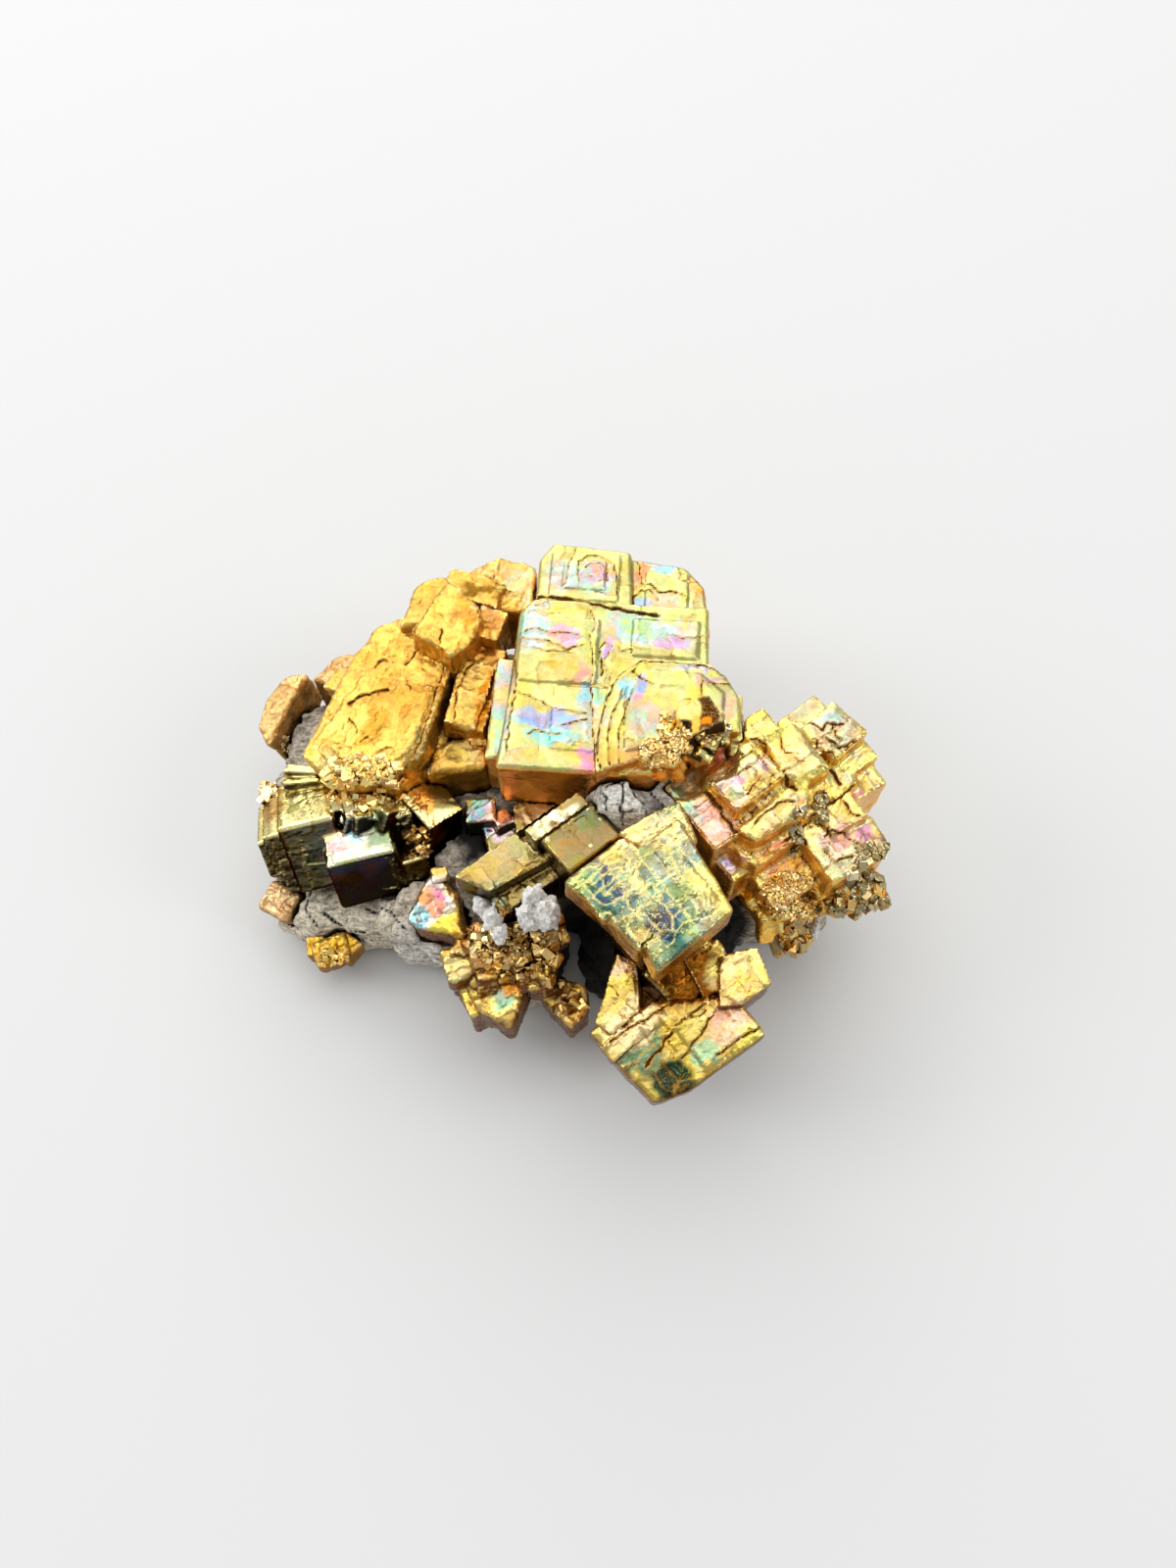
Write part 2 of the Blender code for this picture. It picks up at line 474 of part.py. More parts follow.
def clearance(name, shapes, druses):
    """The same crystals, each larger all round by the gap, to cut away from a neighbour."""
    cutters = collection(name + "_clearance")
    for index, shape in enumerate(shapes):
        if shape.tall > STEP_TALL:
            add_shape(shape, f"{name}_room_{index + 1}", cutters, grow=GAP)
    for patch in druses:
        room = Lump(patch.x, patch.y, patch.z, patch.across + DRUSE_MARGIN,
                    patch.deep + DRUSE_MARGIN, patch.rise + DRUSE_RISE, DRUSE_BOXY,
                    patch.seed)
        add_lump(room, f"{name}_room_druse_{patch.seed}", cutters, 0, 2)
    hidden(cutters)
    return cutters


def grown_lumps(name, lumps, parts, material, rough, detail):
    pieces = collection(name + "_pieces")
    body = add_lump(lumps[0], name, parts, rough, detail)
    body.data.materials.append(material)
    for index, lump in enumerate(lumps[1:]):
        facets = detail if lump.wide > BIG_LUMP else min(detail, 2)
        add_lump(lump, f"{name}_lump_{index + 2}", pieces, rough, facets)
    hidden(pieces)
    return body, pieces


def lump_clearance(name, lumps):
    cutters = collection(name + "_clearance")
    for index, lump in enumerate(lumps):
        add_lump(lump, f"{name}_room_{index + 1}", cutters, CLAY_ROUGHNESS, 2, LUMP_GAP)
    hidden(cutters)
    return cutters


def rock_cutters():
    """The grooves in the rock's open window, and all that is below the table."""
    grooves = collection("rock_grooves")
    for index, (x, y, length, turn) in enumerate(ROCK_CRACKS):
        groove = Crystal(length, CRACK_WIDE, BELOW / 2, x, y, ROCK_WINDOW + BELOW / 2 - CRACK_DEEP, turn)
        add_crystal(groove, f"rock_groove_{index + 1}", grooves)
    add_crystal(Crystal(TABLE_WIDE, TABLE_WIDE, BELOW, 0, 0, 0), "table_cut", grooves)
    hidden(grooves)
    return grooves


def main():
    clear_scene()
    parts = collection("iridescent_pyrite_cluster")
    gold = surface("tarnished pyrite, gold", (0.78, 0.52, 0.16), 0.35, 1.0)
    green = surface("tarnished pyrite, green and pink", (0.66, 0.66, 0.36), 0.32, 1.0)
    bronze = surface("tarnished pyrite, dark bronze", (0.32, 0.24, 0.09), 0.35, 1.0)
    rock = surface("altered host rock", (0.36, 0.35, 0.33), 0.85, 0.0)
    clay = surface("white clay", (0.78, 0.73, 0.66), 0.9, 0.0)
    quartz = surface("grey quartz", (0.5, 0.5, 0.5), 0.5, 0.0)

    groups = [
        ("large_cube_crystals", LARGE_CUBE, LARGE_CUBE_DRUSE, green),
        ("central_plate_crystals", CENTRAL_PLATE, [], green),
        ("terrace_crystals", TERRACES, TERRACES_DRUSE, gold),
        ("left_plate_crystals", LEFT_PLATES, [], gold),
        ("left_edge_low_crystal", LEFT_EDGE_LOW, [], gold),
        ("left_edge_high_crystal", LEFT_EDGE_HIGH, [], gold),
        ("lower_left_crystals", LOWER_LEFT, LOWER_LEFT_DRUSE, bronze),
        ("middle_crystals", MIDDLE, [], green),
        ("front_cube_crystals", FRONT_CUBE, [], green),
        ("front_druse_crystals", FRONT_DRUSE, FRONT_DRUSE_DRUSE, gold),
        ("edge_gold_crystals", EDGE_GOLD, [], gold),
        ("edge_peach_crystal", EDGE_PEACH, [], gold),
    ]
    lumps = [
        ("clay_lump_long", CLAY_LONG, clay),
        ("clay_lump_round", CLAY_ROUND, clay),
        ("quartz_lump", QUARTZ, quartz),
    ]
    # Every shape is made before the first Boolean, which would be worked out anew at each of them.
    solids = []
    for name, shapes, druses, material in groups:
        body, pieces = grown_group(name, shapes, druses, parts, material)
        solids.append((body, pieces, clearance(name, shapes, druses)))
    for name, shapes, material in lumps:
        body, pieces = grown_lumps(name, shapes, parts, material, CLAY_ROUGHNESS, 1)
        solids.append((body, pieces, lump_clearance(name, shapes)))
    host, host_pieces = grown_lumps("matrix_rock", ROCK_LUMPS, parts, rock, ROCK_ROUGHNESS, 3)
    grooves = rock_cutters()

    # Each solid gives way to those before it in the list, and the rock gives way to all of them.
    for index, (body, pieces, _) in enumerate(solids):
        boolean(body, "UNION", pieces)
        for _, _, room in solids[:index]:
            boolean(body, "DIFFERENCE", room)
    boolean(host, "UNION", host_pieces)
    for _, _, room in solids:
        boolean(host, "DIFFERENCE", room)
    boolean(host, "DIFFERENCE", grooves)


main()
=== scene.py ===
# %% [markdown]
# # A cluster of iridescent pyrite
#
# Pyrite grows as cubes. Where it grows fast the cubes run into each other, stack up in steps and
# crack, and a film of oxide a few hundred atoms thick turns the gold to pink, aqua and green.
# This lesson dresses a plain model of such a cluster: each group of crystals is copied, given the
# steps and cracks that its faces have, painted with the colours of its film, and the hollows are
# sown with small crystals.
#
# The plain model comes first, because everything else is placed by it.

import math
import random
from collections import namedtuple
from functools import partial

import bpy
import numpy as np
from mathutils import Matrix, Vector, noise
from mathutils.bvhtree import BVHTree


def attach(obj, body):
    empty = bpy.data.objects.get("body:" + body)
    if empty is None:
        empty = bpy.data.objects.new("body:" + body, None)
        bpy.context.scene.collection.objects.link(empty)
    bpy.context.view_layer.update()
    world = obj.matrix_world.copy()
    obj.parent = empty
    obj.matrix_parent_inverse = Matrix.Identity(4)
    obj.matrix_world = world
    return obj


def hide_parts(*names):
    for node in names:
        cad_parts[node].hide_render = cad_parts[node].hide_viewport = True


MM = 0.001
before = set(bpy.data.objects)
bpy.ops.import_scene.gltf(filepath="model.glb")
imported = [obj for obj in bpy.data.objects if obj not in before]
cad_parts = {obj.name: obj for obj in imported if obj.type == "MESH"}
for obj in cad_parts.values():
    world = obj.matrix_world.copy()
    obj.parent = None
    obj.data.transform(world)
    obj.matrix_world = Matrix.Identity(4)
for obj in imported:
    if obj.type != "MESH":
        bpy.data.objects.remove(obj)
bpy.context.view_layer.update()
print("plain model:", sorted(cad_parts))


# %% [markdown]
# Operators act on whatever is selected, so each step first selects just the piece it works on.
# Shapes and patterns are worked out in millimetres, because that is the size of what is drawn.

# %% Small helpers
def pick(piece):
    """Selects this piece alone and makes it the active one."""
    bpy.ops.object.select_all(action="DESELECT")
    piece.select_set(True)
    bpy.context.view_layer.objects.active = piece


def linear(code):
    """An sRGB hex colour as the linear values that shaders work with."""
    parts = [int(code[index:index + 2], 16) / 255 for index in (1, 3, 5)]
    return [part / 12.92 if part <= 0.04045 else ((part + 0.055) / 1.055) ** 2.4 for part in parts]


def flat_colour(code):
    """The same with an alpha, as a shader's socket takes it."""
    return (*linear(code), 1)


def read_points(piece, kind):
    """The places ("co", in millimetres) or normals ("normal") of all points of a mesh."""
    flat = np.empty(len(piece.data.vertices) * 3, np.float32)
    piece.data.vertices.foreach_get(kind, flat)
    return flat.reshape(-1, 3) / (MM if kind == "co" else 1)


def move_points(piece, points):
    piece.data.vertices.foreach_set("co", (points * MM).astype(np.float32).ravel())
    piece.data.update()


def apply_modifier(piece, kind, **settings):
    """Adds a modifier to a piece and applies it."""
    pick(piece)
    step = piece.modifiers.new(kind.lower(), kind)
    for key, value in settings.items():
        setattr(step, key, value)
    bpy.ops.object.modifier_apply(modifier=step.name)


print("helpers: pick, linear, flat_colour, read_points, move_points, apply_modifier")

# %% [markdown]
# ## Camera, floor and light
#
# The cluster is a few centimetres wide, and is looked at from about eleven centimetres away, from
# well above its front. So short a distance with a wide lens makes the near, high crystals loom a
# little over the far ones.

# %% Camera
CAMERA_UP = math.radians(65)
CAMERA_AWAY = 111 * MM
LOOKED_AT = Vector((1.2, 4.0, 12.0)) * MM

bpy.ops.object.select_all(action="DESELECT")
towards_camera = Vector((0, -math.cos(CAMERA_UP), math.sin(CAMERA_UP)))
bpy.ops.object.camera_add(
    location=LOOKED_AT + towards_camera * CAMERA_AWAY,
    rotation=(math.radians(90) - CAMERA_UP, 0, 0),
)
camera = bpy.context.object
camera.data.lens = 25
camera.data.sensor_width = 36
camera.data.clip_start = 1 * MM
bpy.context.scene.camera = camera
print("camera at", [round(part, 4) for part in camera.location])

# %% Floor
FLOOR_WIDE = 3.0
bpy.ops.mesh.primitive_plane_add(size=FLOOR_WIDE)
floor = bpy.context.object
floor.name = "floor"
# matt and nearly white, it gives the eye a calm ground and the metal something pale to mirror
paper = bpy.data.materials.new("pale floor")
paper.use_nodes = True
paper.node_tree.nodes["Principled BSDF"].inputs["Base Color"].default_value = flat_colour("#CFCFCD")
paper.node_tree.nodes["Principled BSDF"].inputs["Roughness"].default_value = 0.9
floor.data.materials.append(paper)
print("floor:", FLOOR_WIDE, "metres wide")

# %% [markdown]
# A metal shows what it reflects. The tops of the crystals mirror the sky behind the cluster, so a
# wide soft lamp stands there, with a low one further back for the tops that lean. Two smaller lamps
# at the sides draw the edges, and the pale floor and a lit room fill the rest. The Standard view
# transform keeps the metal's colours as strong as they are mixed.

# %% Lamps and room
ROOM_LIGHT = 0.60
LAMPS = [
    # name, place in metres, width in metres, power in watts
    ("sky_lamp", (-0.06, 0.34, 0.62), 1.00, 4.6),
    ("back_lamp", (-0.10, 0.90, 0.22), 0.60, 2.2),
    ("left_lamp", (-0.62, 0.05, 0.42), 0.30, 1.6),
    ("right_lamp", (0.60, -0.10, 0.45), 0.25, 1.0),
]
for name, place, wide, power in LAMPS:
    bpy.ops.object.light_add(type="AREA", location=place)
    lamp = bpy.context.object
    lamp.name = name
    lamp.rotation_euler = (Vector(place) - LOOKED_AT).to_track_quat("Z", "Y").to_euler()
    lamp.data.size = wide
    lamp.data.energy = power
world = bpy.data.worlds.new("lit room")
bpy.context.scene.world = world
world.use_nodes = True
world.node_tree.nodes["Background"].inputs["Color"].default_value = (0.95, 0.97, 1.0, 1)
world.node_tree.nodes["Background"].inputs["Strength"].default_value = ROOM_LIGHT
bpy.context.scene.view_settings.view_transform = "Standard"
print("lamps:", [lamp[0] for lamp in LAMPS])


# %% [markdown]
# ## Relief
#
# A crystal face is never quite flat. It grows in steps that run round square hills, it cracks, and
# its skin is finely pitted. A mesh can only show that if it has points to move, so the copy of each
# group is first remeshed with small even squares, and swelled a tenth of a millimetre, so that the
# groups close up on each other. Displace modifiers then push parts of the face up and down. Their
# textures are cut into levels by a ramp with hard stops, so that they make steps and not waves, and
# they are turned to lie along the crystals' edges.

# %% Copy a node
def copy_node(node, name):
    """A copy of a plain node, its loose triangles joined into one skin."""
    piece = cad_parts[node].copy()
    piece.data = piece.data.copy()
    piece.parent = None
    piece.matrix_world.identity()
    piece.name = name
    piece.data.name = name
    bpy.context.scene.collection.objects.link(piece)
    piece.data.materials.clear()
    pick(piece)
    bpy.ops.object.mode_set(mode="EDIT")
    bpy.ops.mesh.select_all(action="SELECT")
    bpy.ops.mesh.remove_doubles(threshold=0.001 * MM)
    bpy.ops.object.mode_set(mode="OBJECT")
    return piece


# %% Remesh and displace
SWELL = 0.1         # what every copy grows by
LEVELS = 9          # steps from the foot of a hill to its top
SKIN_SIZE = 0.8     # size of the pits in the skin
Relief = namedtuple("Relief", "square turn hill hill_high terrace terrace_high skin closing", defaults=(0,))


def step_texture(name, kind, size):
    """A texture of this size whose greys are cut into hard steps."""
    pattern = bpy.data.textures.new(name, kind)
    pattern.noise_scale = size * MM
    pattern.use_color_ramp = True
    band = pattern.color_ramp
    band.interpolation = "CONSTANT"
    while len(band.elements) < LEVELS:
        band.elements.new(0.5)
    for index, element in enumerate(band.elements):
        element.position = index / LEVELS
        grey = index / (LEVELS - 1)
        element.color = (grey, grey, grey, 1)
    return pattern


def give_relief(piece, relief, seed):
    apply_modifier(piece, "REMESH", mode="VOXEL", voxel_size=relief.square * MM)
    if relief.closing:
        # swelled, remeshed and shrunk back, so that narrow gaps between its own crystals fill up
        apply_modifier(piece, "DISPLACE", strength=relief.closing * MM, mid_level=0)
        apply_modifier(piece, "REMESH", mode="VOXEL", voxel_size=relief.square * MM)
        apply_modifier(piece, "DISPLACE", strength=-relief.closing * MM, mid_level=0)
    apply_modifier(piece, "DISPLACE", strength=SWELL * MM, mid_level=0)
    bpy.ops.object.empty_add(location=(seed * 0.013, seed * 0.007, 0),
                             rotation=(0.05, 0.08, math.radians(relief.turn)))
    guide = bpy.context.object
    where = {"texture_coords": "OBJECT", "texture_coords_object": guide}
    hills = step_texture("square hills", "VORONOI", relief.hill)
    hills.distance_metric = "CHEBYCHEV"
    terraces = step_texture("terraces", "CLOUDS", relief.terrace)
    terraces.noise_depth = 2
    skin = bpy.data.textures.new("skin", "CLOUDS")
    skin.noise_scale = SKIN_SIZE * MM
    skin.noise_depth = 3
    for texture, high, level in ((hills, -relief.hill_high, 0.5), (terraces, relief.terrace_high, 0.45),
                                 (skin, relief.skin, 0.35)):
        apply_modifier(piece, "DISPLACE", texture=texture, strength=high * MM, mid_level=level, **where)
    bpy.data.objects.remove(guide)


# %% [markdown]
# Each group needs squares small enough for its own relief, and a turn that follows its crystals.
# Two small blocks are joined on before the remesh, which makes one skin of them: a level top for
# the second of the dark cubes on the left, and a little cube in the crust on the right.

# %% Groups
CUBE_TURN = -4
TERRACE_TURN = 36
PLATE_TURN = -17
LEANING_TURN = 15
RELIEFS = {
    # node: square, turn, hills and their height, terraces and their height, skin, closing
    "large_cube_crystals": Relief(0.17, CUBE_TURN, 6.0, 0.12, 3.0, 0.14, 0.05),
    "left_plate_crystals": Relief(0.17, PLATE_TURN, 4.0, 0.25, 1.8, 0.5, 0.22),
    "terrace_crystals": Relief(0.17, TERRACE_TURN, 4.0, 0.12, 2.2, 0.16, 0.06, 0.42),
    "central_plate_crystals": Relief(0.15, TERRACE_TURN, 4.0, 0.16, 2.4, 0.2, 0.05),
    "front_cube_crystals": Relief(0.16, TERRACE_TURN, 5.0, 0.16, 2.6, 0.2, 0.05),
    "lower_left_crystals": Relief(0.15, LEANING_TURN, 5.0, 0.025, 2.6, 0.02, 0.02),
    "middle_crystals": Relief(0.15, TERRACE_TURN, 4.0, 0.08, 2.2, 0.08, 0.03),
    "front_druse_crystals": Relief(0.15, 20, 2.4, 0.3, 1.4, 0.4, 0.14),
    "left_edge_low_crystal": Relief(0.14, -20, 3.0, 0.25, 1.8, 0.4, 0.14),
    "left_edge_high_crystal": Relief(0.14, -20, 3.0, 0.25, 1.8, 0.4, 0.14),
    "edge_gold_crystals": Relief(0.12, 24, 2.0, 0.25, 1.2, 0.3, 0.14),
    "edge_peach_crystal": Relief(0.12, -30, 2.4, 0.2, 1.6, 0.3, 0.08),
}
ADDED_BLOCKS = {
    # node: middle and size of its block in millimetres, and its turns in degrees
    "lower_left_crystals": ((-20.9, -3.75, 13.9), (6.1, 3.3, 3.0), (4, 0, 14)),
    "terrace_crystals": ((28.2, -9.6, 15.6), (1.5, 1.3, 1.6), (8, -6, 30)),
}


def add_block(piece, middle, size, turns):
    """Joins a plain block to a piece that is still to be remeshed."""
    bpy.ops.mesh.primitive_cube_add(size=MM, location=Vector(middle) * MM,
                                    rotation=[math.radians(turn) for turn in turns], scale=size)
    piece.select_set(True)
    bpy.context.view_layer.objects.active = piece
    bpy.ops.object.join()


pieces = {}
for number, (node, relief) in enumerate(RELIEFS.items()):
    piece = copy_node(node, "grown_" + node)
    if node in ADDED_BLOCKS:
        add_block(piece, *ADDED_BLOCKS[node])
    give_relief(piece, relief, number + 1)
    pieces[node] = piece
    print(node, len(piece.data.polygons) * 2, "triangles")


# %% [markdown]
# ## Cracks and growth lines
#
# The great cracks are drawn one by one: each is a width and then x and y of every point it runs
# through, in millimetres. A width below nothing makes a line that doesn't open and only shows its
# border.

# %% Cracks of the large cube
CRACKS = {}
CRACKS["large_cube_crystals"] = [
    # the long crack across the back of the top, the rings of growth behind and before it, and the
    # seam round the plate that sits on the near corner
    (0.18, -5.3, 17.5, -4.7, 18.1, -4.2, 18.4, -3.7, 19.2, -2.9, 19.0, -1.0, 18.8, 0.7, 18.2, 1.7, 17.7,
     3.6, 17.2, 5.5, 16.8, 6.4, 16.6, 7.9, 16.3),
    (0.03, 0.1, 25.1, -0.3, 24.0, -0.6, 23.0, -0.9, 21.8, -1.1, 20.3),
    (0.03, 0.2, 20.6, 0.2, 21.8, 0.3, 23.1, 0.7, 23.7, 1.7, 23.9, 2.7, 23.7, 3.7, 23.0, 4.0, 21.8,
     4.1, 20.6, 4.0, 19.2, 3.1, 19.2, 1.9, 19.6),
    (0.03, 1.0, 22.4, 1.4, 22.8, 2.4, 22.8, 3.2, 22.1, 3.1, 20.9, 2.2, 20.6),
    (0.06, 5.8, 24.6, 6.3, 23.3, 6.4, 22.1, 6.6, 21.1, 7.3, 20.8, 8.0, 20.0, 9.5, 19.9, 10.9, 19.4),
    (0.05, 5.7, 18.4, 5.8, 19.6, 6.6, 20.3, 7.5, 20.0, 8.0, 19.0),
    (0.03, -4.9, 14.5, -4.0, 14.8, -2.6, 14.4, -0.9, 14.2, 0.3, 14.0),
    (0.03, -5.1, 13.7, -2.8, 13.4, -0.9, 12.4, 0.7, 12.9),
    (0.03, -3.9, 12.6, -2.5, 12.2, -0.4, 12.0),
    (0.06, 2.8, 13.3, 2.3, 12.6, 2.4, 11.2, 2.6, 10.3, 2.4, 9.6),
    (0.03, 2.8, 13.3, 3.4, 12.9, 3.2, 11.8, 2.7, 11.2),
    (0.03, -5.6, 7.8, -4.3, 7.5, -2.9, 6.7, -1.5, 5.9, -0.2, 5.7, 1.0, 5.5),
    (0.03, -4.3, 3.4, -3.8, 3.9, -2.9, 3.7, -1.7, 3.4, -1.3, 3.4),
    (0.03, -1.3, 4.3, -0.2, 4.5, 1.0, 4.9),
    (0.03, 1.4, 14.0, 1.7, 10.7, 1.5, 7.5, 1.7, 3.4, 1.8, 0.0),
    (0.1, 2.3, -0.6, 2.0, 1.1, 2.1, 2.8, 2.5, 4.9, 3.0, 6.7, 3.5, 8.0, 4.4, 9.4, 5.8, 10.5, 7.6, 10.5,
     9.9, 10.5, 12.2, 10.1, 13.5, 9.4, 14.4, 8.5),
    (0.06, 6.3, 10.5, 5.3, 9.3, 6.2, 8.5, 7.1, 8.0),
    (0.03, 3.1, -0.4, 3.0, 1.4, 3.1, 3.1, 3.4, 4.9, 4.0, 6.4, 4.4, 7.4),
    (0.03, 3.9, -0.4, 3.9, 1.4, 4.0, 3.1, 4.5, 4.9, 5.0, 6.4, 5.3, 7.4),
    (0.03, 4.3, 2.6, 5.2, 2.1, 6.1, 0.9, 6.1, 0.1),
    (0.05, 11.8, 8.2, 11.7, 6.7),
    (0.03, 11.8, 8.2, 12.8, 8.1, 13.8, 8.0, 14.4, 8.2),
    (0.06, -5.8, 11.2, -5.5, 9.6, -5.6, 7.8, -6.0, 4.9, -6.2, 1.9),
    (0.03, 4.0, 12.9, 4.5, 12.3, 5.4, 12.6, 6.6, 12.4),
    (0.03, 9.2, 14.0, 10.1, 13.4, 11.3, 13.7, 12.2, 14.0),
    (0.03, 1.4, 17.0, 1.9, 15.6, 1.7, 14.2),
]
print(len(CRACKS["large_cube_crystals"]), "cracks of the large cube")

# %% Cracks of the left plates
CRACKS["left_plate_crystals"] = [
    # seams between the long plates, and short cracks across them
    (0.13, -13.9, 18.9, -14.2, 17.5, -15.0, 16.0, -15.6, 14.3, -15.8, 13.7, -16.7, 12.8),
    (0.1, -12.8, 14.6, -12.9, 13.6, -13.1, 12.8),
    (0.13, -21.9, 8.5, -20.8, 9.3, -20.0, 9.5, -19.2, 9.7, -18.1, 9.8),
    (0.08, -21.7, 7.0, -21.1, 6.2, -20.8, 5.7, -20.9, 5.4),
    (0.06, -16.3, 10.5, -16.1, 10.0, -16.0, 9.5),
    (0.08, -24.5, 0.3, -23.3, 0.6, -22.0, 0.5, -20.1, 0.2, -18.7, 0.5, -17.4, 0.6),
    (0.05, -18.4, 3.3, -17.9, 3.6, -17.0, 3.4),
    (0.08, -12.7, 12.6, -12.9, 11.3, -13.5, 9.4, -14.0, 6.8, -14.6, 4.3, -15.1, 2.5, -15.9, 1.3),
    (0.1, -9.9, 12.6, -10.6, 11.7, -11.0, 10.4, -11.5, 9.4, -11.5, 7.8, -11.6, 6.5),
    (0.08, -10.2, 5.1, -9.8, 4.6, -8.8, 4.8, -8.6, 3.5),
    (0.06, -19.8, 12.6, -19.0, 13.3, -18.4, 13.1),
    (0.06, -20.5, 4.3, -19.7, 4.9, -19.2, 4.3),
    (0.05, -23.1, 3.7, -22.2, 2.8, -21.4, 2.5, -20.3, 2.8),
    (0.06, -8.3, 23.8, -8.8, 22.7, -7.9, 22.0, -6.7, 21.7),
]
print(len(CRACKS["left_plate_crystals"]), "cracks of the left plates")

# %% Cracks of the terraces
CRACKS["terrace_crystals"] = [
    # wide gaps between the blocks, the square ring on the nearest of them, and cracks in the others
    (0.11, 15.2, 3.2, 16.0, 2.9, 16.7, 2.9, 17.2, 2.4),
    (0.23, 17.3, 2.6, 17.7, 1.6, 18.3, 0.4, 18.9, -0.4, 19.5, -1.4, 20.0, -2.0),
    (0.23, 11.7, -1.6, 12.6, -3.0, 13.4, -4.2, 14.0, -5.2, 14.5, -5.9),
    (0.05, 13.7, -0.5, 15.3, 0.8, 16.1, 1.5, 16.9, 0.8, 17.7, -0.7, 17.5, -2.2, 16.1, -3.8, 14.8, -4.8),
    (0.04, 14.6, -1.0, 15.7, -0.2, 16.4, -0.7, 16.3, -1.7, 15.3, -2.9),
    (0.05, 20.0, 1.1, 20.4, 0.6, 20.8, 0.8),
    (0.07, 18.8, 3.3, 19.1, 1.8, 20.0, 1.6),
    (0.09, 22.2, 5.1, 22.6, 4.6, 23.0, 4.2, 23.4, 5.0, 24.2, 4.7, 24.9, 4.8),
    (0.08, 23.3, 3.5, 23.8, 3.0, 24.4, 2.5, 25.2, 2.8, 25.9, 3.3),
    (0.08, 22.3, 3.3, 22.4, 2.5, 23.0, 2.0, 23.7, 2.1),
    (0.07, 24.0, 4.7, 24.0, 3.8, 24.5, 3.3),
    (0.23, 23.9, 1.1, 24.3, 0.3, 24.6, -0.4),
    (0.14, 25.9, -0.4, 24.1, -1.9, 22.2, -3.1, 20.8, -4.4, 19.8, -5.1, 19.1, -5.8),
    (0.08, 13.8, -5.9, 14.5, -6.4, 15.9, -7.3),
    (0.11, 20.9, -5.4, 21.2, -6.4, 22.0, -7.8, 22.3, -9.0, 21.8, -9.7),
    (0.07, 22.7, -5.2, 23.4, -5.0, 24.5, -5.0, 25.7, -5.9, 26.7, -6.4),
    (0.07, 22.6, -6.4, 23.5, -7.8, 26.6, -6.4),
    (0.09, 22.1, -3.3, 22.7, -4.0, 23.4, -5.4),
    (0.09, 24.7, -1.8, 25.3, -3.2, 26.1, -3.4),
    (0.07, 16.0, -5.2, 17.0, -4.2, 18.3, -3.3, 19.7, -3.0),
    (0.07, 14.2, 2.8, 14.5, 1.6, 15.2, 1.0),
]
print(len(CRACKS["terrace_crystals"]), "cracks of the terraces")

# %% Cracks of the thick plate
CRACKS["central_plate_crystals"] = [
    # one crack at the near end, and pale growth lines that only show their border
    (0.12, 5.9, -18.6, 5.6, -17.2, 6.6, -16.2),
    (-0.04, 0.6, -9.6, 2.4, -8.2, 4.4, -6.8, 6.6, -5.2, 8.8, -3.8),
    (-0.04, 1.2, -10.8, 3.6, -9.0, 5.4, -7.8, 7.8, -6.2, 10.4, -4.9),
    (-0.04, 2.6, -12.9, 5.0, -11.0, 6.2, -9.2, 9.0, -7.6, 12.0, -6.2),
    (-0.04, 4.2, -15.0, 6.4, -13.2, 8.9, -11.6, 11.0, -9.8, 13.6, -8.4),
    (-0.04, 4.8, -8.0, 6.2, -10.2, 7.8, -12.4, 9.6, -14.8),
]
print(len(CRACKS["central_plate_crystals"]), "cracks of the thick plate")

# %% Cracks of the front cube
CRACKS["front_cube_crystals"] = [
    # long cracks along the edges of its blocks
    (0.12, 6.2, -25.4, 7.6, -23.6, 8.4, -22.4),
    (0.08, 3.0, -23.4, 4.6, -22.2, 6.6, -21.2, 8.4, -19.8),
    (0.06, 9.4, -24.6, 11.0, -22.6, 12.4, -20.4),
    (0.06, 12.4, -24.4, 14.2, -23.0, 16.4, -21.9),
]
print(len(CRACKS["front_cube_crystals"]), "cracks of the front cube")

# %% Cracks of the rock
CRACKS["matrix_rock"] = [
    # mud cracks in the window between the cubes, and deep ones in the open rock on the left
    (0.14, 1.7, -0.7, 2.8, -1.3, 3.7, -0.9, 4.3, -1.1, 4.4, -2.1, 4.1, -3.4, 4.4, -4.7),
    (0.1, 4.3, -1.1, 5.2, -0.9, 6.1, -0.6, 7.0, -1.3, 7.6, -2.1, 8.0, -3.1),
    (0.07, 2.3, -1.7, 2.9, -2.4, 2.7, -3.7, 3.1, -4.5),
    (0.07, 5.2, -0.9, 5.5, -2.1, 6.3, -2.9, 6.5, -4.0),
    (0.05, 3.7, -3.1, 4.8, -3.7, 5.8, -3.5),
    (0.2, -25.4, -8.3, -23.3, -9.8, -21.1, -10.1, -19.3, -11.3),
    (0.16, -29.0, -3.0, -26.9, -5.1, -27.4, -7.8, -26.0, -9.8),
    (0.14, -21.3, -7.8, -18.5, -8.8, -16.6, -10.8),
]
print(len(CRACKS["matrix_rock"]), "cracks of the rock")


# %% [markdown]
# Between the cracks every face carries finer lines, where one growth layer ends on another. Those
# are walked out at random along the crystals' own directions, a short step at a time, turning a
# corner now and then.

# %% Lines that grow by themselves
Growth = namedtuple("Growth", "lines step turn_chance side_step", defaults=(0.5, 0.12, 0.05))
GROWTHS = {
    "large_cube_crystals": Growth(70), "left_plate_crystals": Growth(110), "terrace_crystals": Growth(130),
    "central_plate_crystals": Growth(90, 0.8, 0.08), "front_cube_crystals": Growth(60),
    "lower_left_crystals": Growth(40), "middle_crystals": Growth(40), "front_druse_crystals": Growth(60),
}
FEW_LINES = Growth(12)
FINEST, FINE = 0.04, 0.16     # widths of these lines, taken as below nothing


